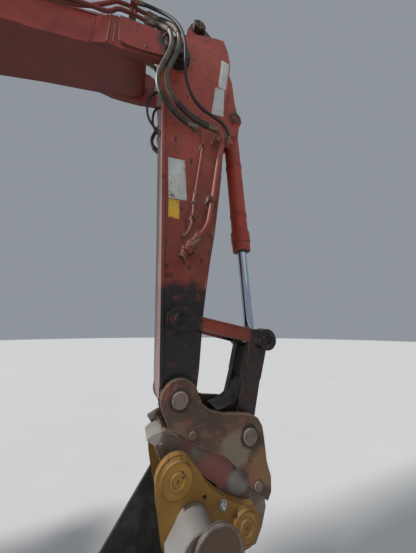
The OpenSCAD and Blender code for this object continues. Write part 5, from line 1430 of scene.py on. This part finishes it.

# Arm
# A long box of welded plate with cast pin bosses at its ends. Its inner plate is scraped and dusty, with a
# painted highlight where it faces the key light; its lower end is black with grease, and blank plates and
# stickers are left on its right side.
ROCKER_PIN = TIP + Vector((-0.012, 0, 0.518))
greased = [(pin.x, pin.z, reach) for pin, reach in ((ROCKER_PIN, 0.34), (TIP, 0.52), (ARM_ROD_PIN, 0.16))]
# The arm's paint has painted shade on faces that look down, a painted highlight with its dust on faces toward
# the key light, and gets darker towards the bottom
arm_paint = painted_steel("faded arm paint", (0.36, 0.036, 0.018), (0.38, 0.075, 0.048),
                          (0.04, 0.022, 0.016), pins=greased, back_dust_and_highlight=0.9, low=(3.2, 4.6),
                          painted_underside_shade=0.3, chipping=0.8, splashes=0.8)
dress(arm_paint, "arm_shell", "arm_pipes")
ARM_HALF = 0.175
ARM_OUTER = [(200, 750), (235, 1000), (277, 1250), (320, 1600), (345, 1800), (370, 2100), (400, 2300),
             (420, 2650), (455, 3100), (500, 3500)]
ARM_INNER = [(-104, 130), (-133, 740), (-156, 1230), (-230, 2640)]
for s in (-1, 1):
    add_bead(bm, beside_arm([(x - 9, s * 176, z) for x, z in ARM_OUTER]), 0.005, 0.016)
    add_bead(bm, arm_side(s * 176, ARM_INNER), 0.005, 0.016)
    for x, z, r in ((-12, 518, 92), (0, 0, 127)):
        add_bead(bm, on_circle(by_arm(x, s * 177, z), r / 1000, turn(36, whole=1)), 0.006)
    # Lugs of the bucket cylinder
    for y in (89, 125):
        add_bead(bm, arm_side(s * y, ((401, 2400), (423, 2700), (450, 3050), (488, 3400))), 0.006)
make_piece("arm_weld_seams", bm, arm_paint, "arm", 60)
for s in (-1, 1):
    add_pin_head(bm, BUCKET_HEAD + Vector((0, s * 0.143, 0)), s, 0.064, 3)
    add_pin_head(bm, ARM_ROD_PIN + Vector((0, s * 0.160, 0)), s, 0.068, 3)
make_piece("arm_pin_ends", bm, pin_steel, "arm")


def sheet_finish(name, colour, stain, gloss):
    """A thin printed or enamelled sheet, blank, with dirty, lifting edges."""
    material, bench = new_material(name)
    dirt = bench.place(cloudy, Size=0.10, Contrast=0.22)
    corner = bench.place(worn_edges, Width=0.006, Amount=1.0)
    shade = bench.blend(bench.times(dirt, 0.35), colour, stain)
    bench.set("Base Color", bench.blend(corner, shade, (0.16, 0.09, 0.06)))
    bench.set("Roughness", bench.maths("MULTIPLY_ADD", dirt, 0.25, gloss))
    return material


white_sheet = sheet_finish("blank white sheet", (0.52, 0.54, 0.52), (0.33, 0.31, 0.27), 0.35)
yellow_sheet = sheet_finish("blank yellow sheet", (0.72, 0.42, 0.02), (0.45, 0.28, 0.06), 0.4)


def add_sheet(bm, corners, thickness, rounding):
    """A blank sheet on the arm's right side, its corners in millimetres from the arm's tip pin."""
    face = -ARM_HALF * 1000 + 0.5
    add_slab(bm, arm_side(face, corners), (0, -thickness, 0), rounding)


add_sheet(bm, [(385, 3515), (488, 3500), (425, 3050), (335, 3050)], 0.003, 0.001)
add_sheet(bm, [(300, 3030), (412, 3045), (388, 2640), (250, 2620)], 0.003, 0.001)
add_sheet(bm, [(-165, 1925), (-10, 1935), (20, 1520), (-140, 1510)], 0.0016, 0.0005)
make_piece("blank_white_plates", bm, white_sheet, "arm")
add_sheet(bm, [(-140, 1505), (-45, 1510), (-40, 1330), (-135, 1330)], 0.0016, 0.0005)
make_piece("blank_yellow_sticker", bm, yellow_sheet, "arm")

# Arm pipes
# Two steel pipes a side carry on from the hoses, held by bolted blocks. The thick one ends in a shut-off
# valve with a hexagon body and a lever, the thin one in an open elbow for a tool that isn't fitted.
for s in (-1, 1):
    for x, z in ((300, 2215), (240, 1535), (38, 1045)):
        for dx in (-38, 24):
            add_bolt(bm, by_arm(x + dx, s * 263, z), (0, s, 0), 0.009)
    for x, z in ((146, 2120), (70, 1345)):
        add_bolt(bm, by_arm(x, s * 224, z), (0, s, 0), 0.009)
    for x in (358, 380):
        for z in (2250, 2282):
            add_bolt(bm, by_arm(x, s * 231, z), (0, s, 0), 0.008)
make_piece("arm_pipe_bolts", bm, bolt_steel, "arm")
# Nuts on the pipes: painted or bare, their two ends, distance from the arm's middle, and radius
NUTS = ((True, (312, 2346), (290, 2350), 235, 0.034), (True, (112, 2314), (88, 2319), 208, 0.020),
        (True, (128, 1184), (112, 1162), 235, 0.044), (True, (70, 1104), (58, 1088), 235, 0.052),
        (False, (88, 1600), (85, 1580), 208, 0.025), (False, (77, 1500), (74, 1480), 208, 0.025),
        (False, (8, 1184), (-8, 1160), 208, 0.019), (False, (-14, 988), (-24, 974), 235, 0.034))
fittings = bmesh.new()
for s in (-1, 1):
    for painted, (x0, z0), (x1, z1), y, radius in NUTS:
        a, b = by_arm(x0, s * y, z0), by_arm(x1, s * y, z1)
        length = (b - a).length
        add_turned(bm if painted else fittings, a, b - a,
                   [(radius - 0.004, 0), (radius, 0.003), (radius, length - 0.003),
                    (radius - 0.004, length)], 6)
    # Lever of the valve
    add_turned(fittings, by_arm(40, s * 279, 1064), (0, s, 0),
               [(0.012, -0.012), (0.012, 0.010), (0.009, 0.013)], 12)
    add_slab(fittings, arm_side(s * 284, ((28, 1066), (46, 1052), (118, 1128), (108, 1140))),
             (0, s * 0.005, 0), 0.0015)
make_piece("arm_pipe_nuts", bm, arm_paint, "arm")
make_piece("arm_pipe_fittings", fittings, zinc, "arm")
for y in (-50, 50):
    route = beside_arm([(x + 8, y, z) for x, z in ARM_OUTER[:6]])
    add_tube(bm, [route[0] + Vector((-0.01, 0, -0.03)), *route], 0.004, 8)
for x, z in ARM_OUTER[1:5]:
    add_slab(bm, beside_arm([(x - 1, -66, z - 9), (x - 1, 66, z - 9), (x + 1.5, 66, z + 9),
                             (x + 1.5, -66, z + 9)]), (0.015, 0, 0), 0.003)
make_piece("arm_grease_lines", bm, zinc, "arm")

# Bucket linkage
# Two forged bars hang from the arm's rocker pin and a heavy cast link joins them to the coupler. Their
# middles still show red paint, and all their joints are black and wet with grease.
COUPLER_PIN = TIP + Vector((0.5, 0, -0.275))
# The rocker's paint is darkened on faces that look down as painted shade
rocker_paint = painted_steel("greasy rocker paint", (0.27, 0.034, 0.014), (0.20, 0.045, 0.02),
                             (0.03, 0.016, 0.012), bare=1.1, chipping=1.0, streak=0.8, gloss=0.42,
                             painted_underside_shade=0.6, pins=[(ROCKER_PIN.x, ROCKER_PIN.z, 0.22),
                                                    (LINK_PIN.x, LINK_PIN.z, 0.20)])
dress(rocker_paint, "rocker_links")
greasy_steel = worn_metal("greasy link steel", (0.016, 0.011, 0.010), (0.045, 0.022, 0.016),
                          (0.008, 0.007, 0.007), (0.10, 0.05, 0.04), gloss=0.34, metallic=0.2, dust=0.15)
dress(greasy_steel, "h_link")
for s in (-1, 1):
    add_pin_head(bm, LINK_PIN + Vector((0, s * 0.265, 0)), s, 0.044, 2)
    add_pin_head(bm, ROCKER_PIN + Vector((0, s * 0.267, 0)), s, 0.044, 2)
    # Raised flanges along each bar
    for side in (-1, 1):
        along = (LINK_PIN - ROCKER_PIN).normalized()
        across = Vector((-along.z, 0, along.x)) * side
        a, b = ROCKER_PIN + along * 0.17, LINK_PIN - along * 0.13
        corners = [a + across * 0.031, a + across * 0.042, b + across * 0.051, b + across * 0.040]
        add_slab(bm, [c + Vector((0, s * 0.2545, 0)) for c in corners], (0, s * 0.009, 0), 0.0025)
make_piece("rocker_pin_ends", bm, rocker_paint, "rocker")
for s in (-1, 1):
    for centre, r, y in ((LINK_PIN, 0.083, 0.176), (COUPLER_PIN, 0.083, 0.128)):
        add_hoop(bm, centre + Vector((0, s * y, 0)), (0, s, 0),
                 [(r - 0.004, -0.012), (r + 0.004, -0.008), (r + 0.004, 0.008), (r - 0.004, 0.012)], 36)
make_piece("h_link_collars", bm, greasy_steel, "linkage")

# Quick coupler
# Two thick flame-cut plates on the arm's pins carry a hook frame that grips the bucket's pins. The plates are
# rusty under the remains of red paint, and a small hydraulic cylinder inside works the lock.
plate_rust = worn_metal("rusty coupler plate", (0.062, 0.036, 0.022), (0.16, 0.105, 0.070),
                        (0.035, 0.020, 0.012), (0.30, 0.20, 0.11), gloss=0.6, metallic=0.1, patch=0.30,
                        contrast=0.14, edges=0.8, fleck=(0.21, 0.065, 0.050),
                        pins=((TIP.x, TIP.z, 0.085), (COUPLER_PIN.x, COUPLER_PIN.z, 0.085)),
                        zones=((TIP.x + 0.39, TIP.z - 0.33, 0.13, (0.21, 0.165, 0.12), 0.001),
                               (TIP.x + 0.62, TIP.z - 0.46, 0.15, (0.22, 0.115, 0.045), 0.001)))
dress(plate_rust, "coupler_frame")
hook_rust = worn_metal("sandy hook steel", (0.13, 0.092, 0.070), (0.22, 0.175, 0.14), (0.06, 0.04, 0.03),
                       (0.42, 0.34, 0.24), gloss=0.5, metallic=0.2, patch=0.22, contrast=0.16, edges=0.8,
                       fleck=(0.24, 0.080, 0.066),
                       zones=((TIP.x - 0.165, TIP.z - 0.195, 0.075, (0.40, 0.37, 0.32), 0.001),
                              (TIP.x + 0.26, TIP.z - 0.43, 0.14, (0.27, 0.09, 0.075), 0.001),
                              (TIP.x + 0.42, TIP.z - 0.54, 0.09, (0.27, 0.25, 0.23), 0.001)))
dress(hook_rust, "coupler_hook")
PLATE_FACE = 0.241
COUPLER_PINS = ((0, 0, 0.052), (0.5, -0.275, 0.052), (0.087, -0.208, 0.024), (0.545, -0.562, 0.030))
for s in (-1, 1):
    for x, z, r in COUPLER_PINS:
        add_turned(bm, TIP + Vector((x, s * PLATE_FACE, z)), (0, s, 0),
                   [(r, 0), (r, r * 0.13), (r * 0.93, r * 0.20), (r * 0.3, r * 0.22)], 32)
    # Plug screws of the hook frame
    add_turned(bm, TIP + Vector((-0.10, s * 0.201, -0.245)), (0, s, 0),
               [(0.013, -0.001), (0.013, 0.004), (0.010, 0.006)], 16)
make_piece("coupler_pin_heads", bm, hook_rust, "bucket")
for s in (-1, 1):
    for x, z, r in COUPLER_PINS:
        add_hoop(bm, TIP + Vector((x, s * PLATE_FACE, z)), (0, s, 0),
                 [(r - 0.001, -0.001), (r - 0.001, 0.002), (r + 0.006, 0.0015), (r + 0.008, -0.001)], 32)
make_piece("coupler_pin_grease", bm, greasy_steel, "bucket")
# Plate that ties the hook frame together under the lock
tie = [(50, -392), (170, -440), (262, -508), (300, -560)]
add_slab(bm, beside_arm([(x, -151, z) for x, z in tie] + [(x, 151, z) for x, z in tie[::-1]]),
         (-0.004, 0, -0.050), 0)
make_piece("coupler_tie_plate", bm, hook_rust, "bucket")
for s in (-1, 1):
    add_bead(bm, arm_side(s * 201, ((-60, -196), (100, -242), (200, -297), (318, -358), (418, -458))),
             0.006)
make_piece("coupler_welds", bm, plate_rust, "bucket", 60)
lock_start, lock_end = TIP + Vector((0.12, 0, -0.33)), TIP + Vector((0.36, 0, -0.545))
way = lock_end - lock_start
add_turned(bm, lock_start - way * 0.22, way, [(0.020, 0), (0.034, 0.006), (0.034, 0.05), (0.046, 0.052),
                                              (0.046, 0.235), (0.050, 0.240), (0.050, 0.262),
                                              (0.030, 0.266)], 24)
make_piece("coupler_lock_barrel", bm, hook_rust, "bucket")
add_turned(bm, lock_start + way * 0.55, way, [(0.022, 0), (0.022, 0.145)], 20)
make_piece("coupler_lock_rod", bm, rod_chrome, "bucket")

# Bucket hanger ears
# Thick flame-cut plates with welded pin bosses, in ochre paint that is worn away at every rim. The bucket's
# two pins pass through them, each kept by a bolt.
ear_paint = painted_steel("worn ochre paint", (0.25, 0.120, 0.016), (0.38, 0.195, 0.026),
                          (0.075, 0.045, 0.022), bare=1.0, chipping=0.9, streak=0.8, gloss=0.5,
                          dusty=(0.28, 0.20, 0.12))
dress(ear_paint, "bucket_ears")
EAR_PINS = ((-0.020, -0.370), (0.395, -0.675))
EAR_FACE = 0.300
for s in (-1, 1):
    for (x, z), r in zip(EAR_PINS, (0.089, 0.078)):
        centre = TIP + Vector((x, s * EAR_FACE, z))
        add_bead(bm, on_circle(centre + Vector((0, s * 0.001, 0)), r, turn(36, whole=1)), 0.006)
        add_hoop(bm, centre + Vector((0, s * 0.038, 0)), (0, s, 0),
                 [(0.0445, -0.001), (0.0445, 0.003), (0.041, 0.006), (0.033, 0.006), (0.030, 0.002),
                  (0.030, -0.001)], 32)
make_piece("ear_boss_welds", bm, ear_paint, "bucket", 60)
new_steel = worn_metal("new bolt steel", (0.42, 0.43, 0.44), (0.34, 0.34, 0.33), (0.15, 0.13, 0.11),
                       (0.6, 0.6, 0.58), gloss=0.3, metallic=0.8, patch=0.03, bumps=0.0002)
for s in (-1, 1):
    add_bolt(bm, TIP + Vector((0.260, s * EAR_FACE, -0.556)), (0, s, 0), 0.021)
    add_turned(bm, TIP + Vector((0.260, s * (EAR_FACE + 0.016), -0.556)), (0, s, 0),
               [(0.010, 0), (0.010, 0.014), (0.008, 0.017)], 12)
make_piece("ear_bolts", bm, new_steel, "bucket")
for s in (-1, 1):
    for x, z in EAR_PINS:
        add_hoop(bm, TIP + Vector((x, s * (EAR_FACE + 0.038), z)), (0, s, 0),
                 [(0.008, -0.001), (0.008, 0.001), (0.005, 0.0015), (0.005, -0.001)], 12)
make_piece("ear_pin_centres", bm, bolt_steel, "bucket")

# Bucket
# Rolled and welded wear plate, closed by side plates and stiffened by a beam over its top. Straps wear in its
# place underneath, cutters are bolted to its sides, and a pin holds each tooth.
worn_zones = ((TIP.x + 0.150, TIP.z - 0.602, 0.16, (0.10, 0.055, 0.030), 0.479),
              (TIP.x + 0.080, TIP.z - 0.640, 0.26, (0.36, 0.35, 0.33), -0.479))
bucket_steel = worn_metal("dark bucket steel", (0.10, 0.096, 0.090), (0.19, 0.18, 0.165),
                          (0.05, 0.042, 0.036), (0.42, 0.40, 0.37), gloss=0.5, metallic=0.4, patch=0.3,
                          contrast=0.2, zones=worn_zones)
dress(bucket_steel, "bucket_shell", "bucket_teeth")
BUCKET_HALF = 0.505
CUTTER = 0.014
STRAP = 0.09


def in_bucket(a, b, y=0):
    """Point of the bucket's side: along its mouth from the hinge to the lip, and behind it."""
    return TIP + Vector((-0.07 - 0.569 * a + 0.822 * b, y, -0.69 - 0.822 * a - 0.569 * b))


def bucket_back(angle, radius=0.541):
    return 0.5 + radius * math.cos(math.radians(angle)), 0.38 + radius * math.sin(math.radians(angle))


for s in (-1, 1):
    back = [in_bucket(*bucket_back(a, 0.538), s * (BUCKET_HALF - 0.001)) for a in range(8, 167, 6)]
    add_bead(bm, [in_bucket(1.09, 0.01, s * (BUCKET_HALF - 0.001)), *back], 0.007)
    add_bead(bm, on_circle(TIP + Vector((0.150, s * (BUCKET_HALF + 0.001), -0.602)), 0.122,
                           turn(36, whole=1)), 0.007)
    # Side cutter, bolted near the lip
    cutter = ((0.62, 0.0), (1.06, 0.0), (1.04, 0.11), (0.95, 0.15), (0.66, 0.11))
    add_slab(bm, [in_bucket(a, b, s * BUCKET_HALF) for a, b in cutter], (0, s * CUTTER, 0), 0.004)
for y in (-0.36, -0.12, 0.12, 0.36):
    outer = [in_bucket(*bucket_back(a, 0.556), y - STRAP / 2) for a in range(20, 121, 5)]
    inner = [in_bucket(*bucket_back(a, 0.538), y - STRAP / 2) for a in range(120, 19, -5)]
    rounds = [bm.verts.new(p) for p in outer + inner]
    others = [bm.verts.new(p + Vector((0, STRAP, 0))) for p in outer + inner]
    half = len(outer)
    for k in range(half - 1):
        a, b, c, d = k, k + 1, 2 * half - 2 - k, 2 * half - 1 - k
        bm.faces.new((rounds[a], rounds[b], rounds[c], rounds[d]))
        bm.faces.new((others[a], others[b], others[c], others[d]))
        bm.faces.new((rounds[a], rounds[b], others[b], others[a]))
        bm.faces.new((rounds[c], rounds[d], others[d], others[c]))
    for a, b in ((0, 2 * half - 1), (half - 1, half)):
        bm.faces.new((rounds[a], rounds[b], others[b], others[a]))
make_piece("bucket_welds_and_straps", bm, bucket_steel, "bucket", 40)
for s in (-1, 1):
    for a in (0.70, 0.84, 0.98):
        add_bolt(bm, in_bucket(a, 0.055, s * (BUCKET_HALF + CUTTER)), (0, s, 0), 0.018)
for i in range(-2, 3):
    for y in (-0.048, 0.048):
        add_turned(bm, in_bucket(1.125, 0.014, i * 0.226 + y), (0, math.copysign(1, y), 0),
                   [(0.014, -0.002), (0.014, 0.004), (0.011, 0.007)], 14)
make_piece("bucket_bolts", bm, bolt_steel, "bucket")

# Studio
# A plain pale floor and soft daylight from above and from the left of the camera.


def studio():
    bm = bmesh.new()
    bmesh.ops.create_circle(bm, cap_ends=True, radius=60, segments=64)
    mesh = bpy.data.meshes.new("floor")
    bm.to_mesh(mesh)
    bm.free()
    floor = bpy.data.objects.new("floor", mesh)
    bpy.context.scene.collection.objects.link(floor)
    material, bench = new_material("pale floor")
    speck = bench.place(cloudy, Size=2.0, Contrast=0.4)
    bench.set("Base Color", bench.blend(speck, (0.70, 0.69, 0.67), (0.74, 0.73, 0.71)))
    bench.set("Roughness", 0.9)
    mesh.materials.append(material)
    world = bpy.data.worlds.new("studio")
    bpy.context.scene.world = world
    world.use_nodes = True
    back = world.node_tree.nodes["Background"]
    back.inputs["Color"].default_value = (0.80, 0.87, 0.96, 1)
    back.inputs["Strength"].default_value = 0.5
    for name, energy, size, aim in (("key", 4.2, 6, (52, 0, -84)), ("fill", 0.35, 60, (50, 0, 10))):
        light = bpy.data.lights.new(name, "SUN")
        light.energy = energy
        light.angle = math.radians(size)
        lamp = bpy.data.objects.new(name, light)
        lamp.rotation_euler = [math.radians(a) for a in aim]
        bpy.context.scene.collection.objects.link(lamp)


studio()
view = bpy.context.scene.view_settings
view.view_transform = "Standard"
view.look = "None"
view.exposure = -0.55
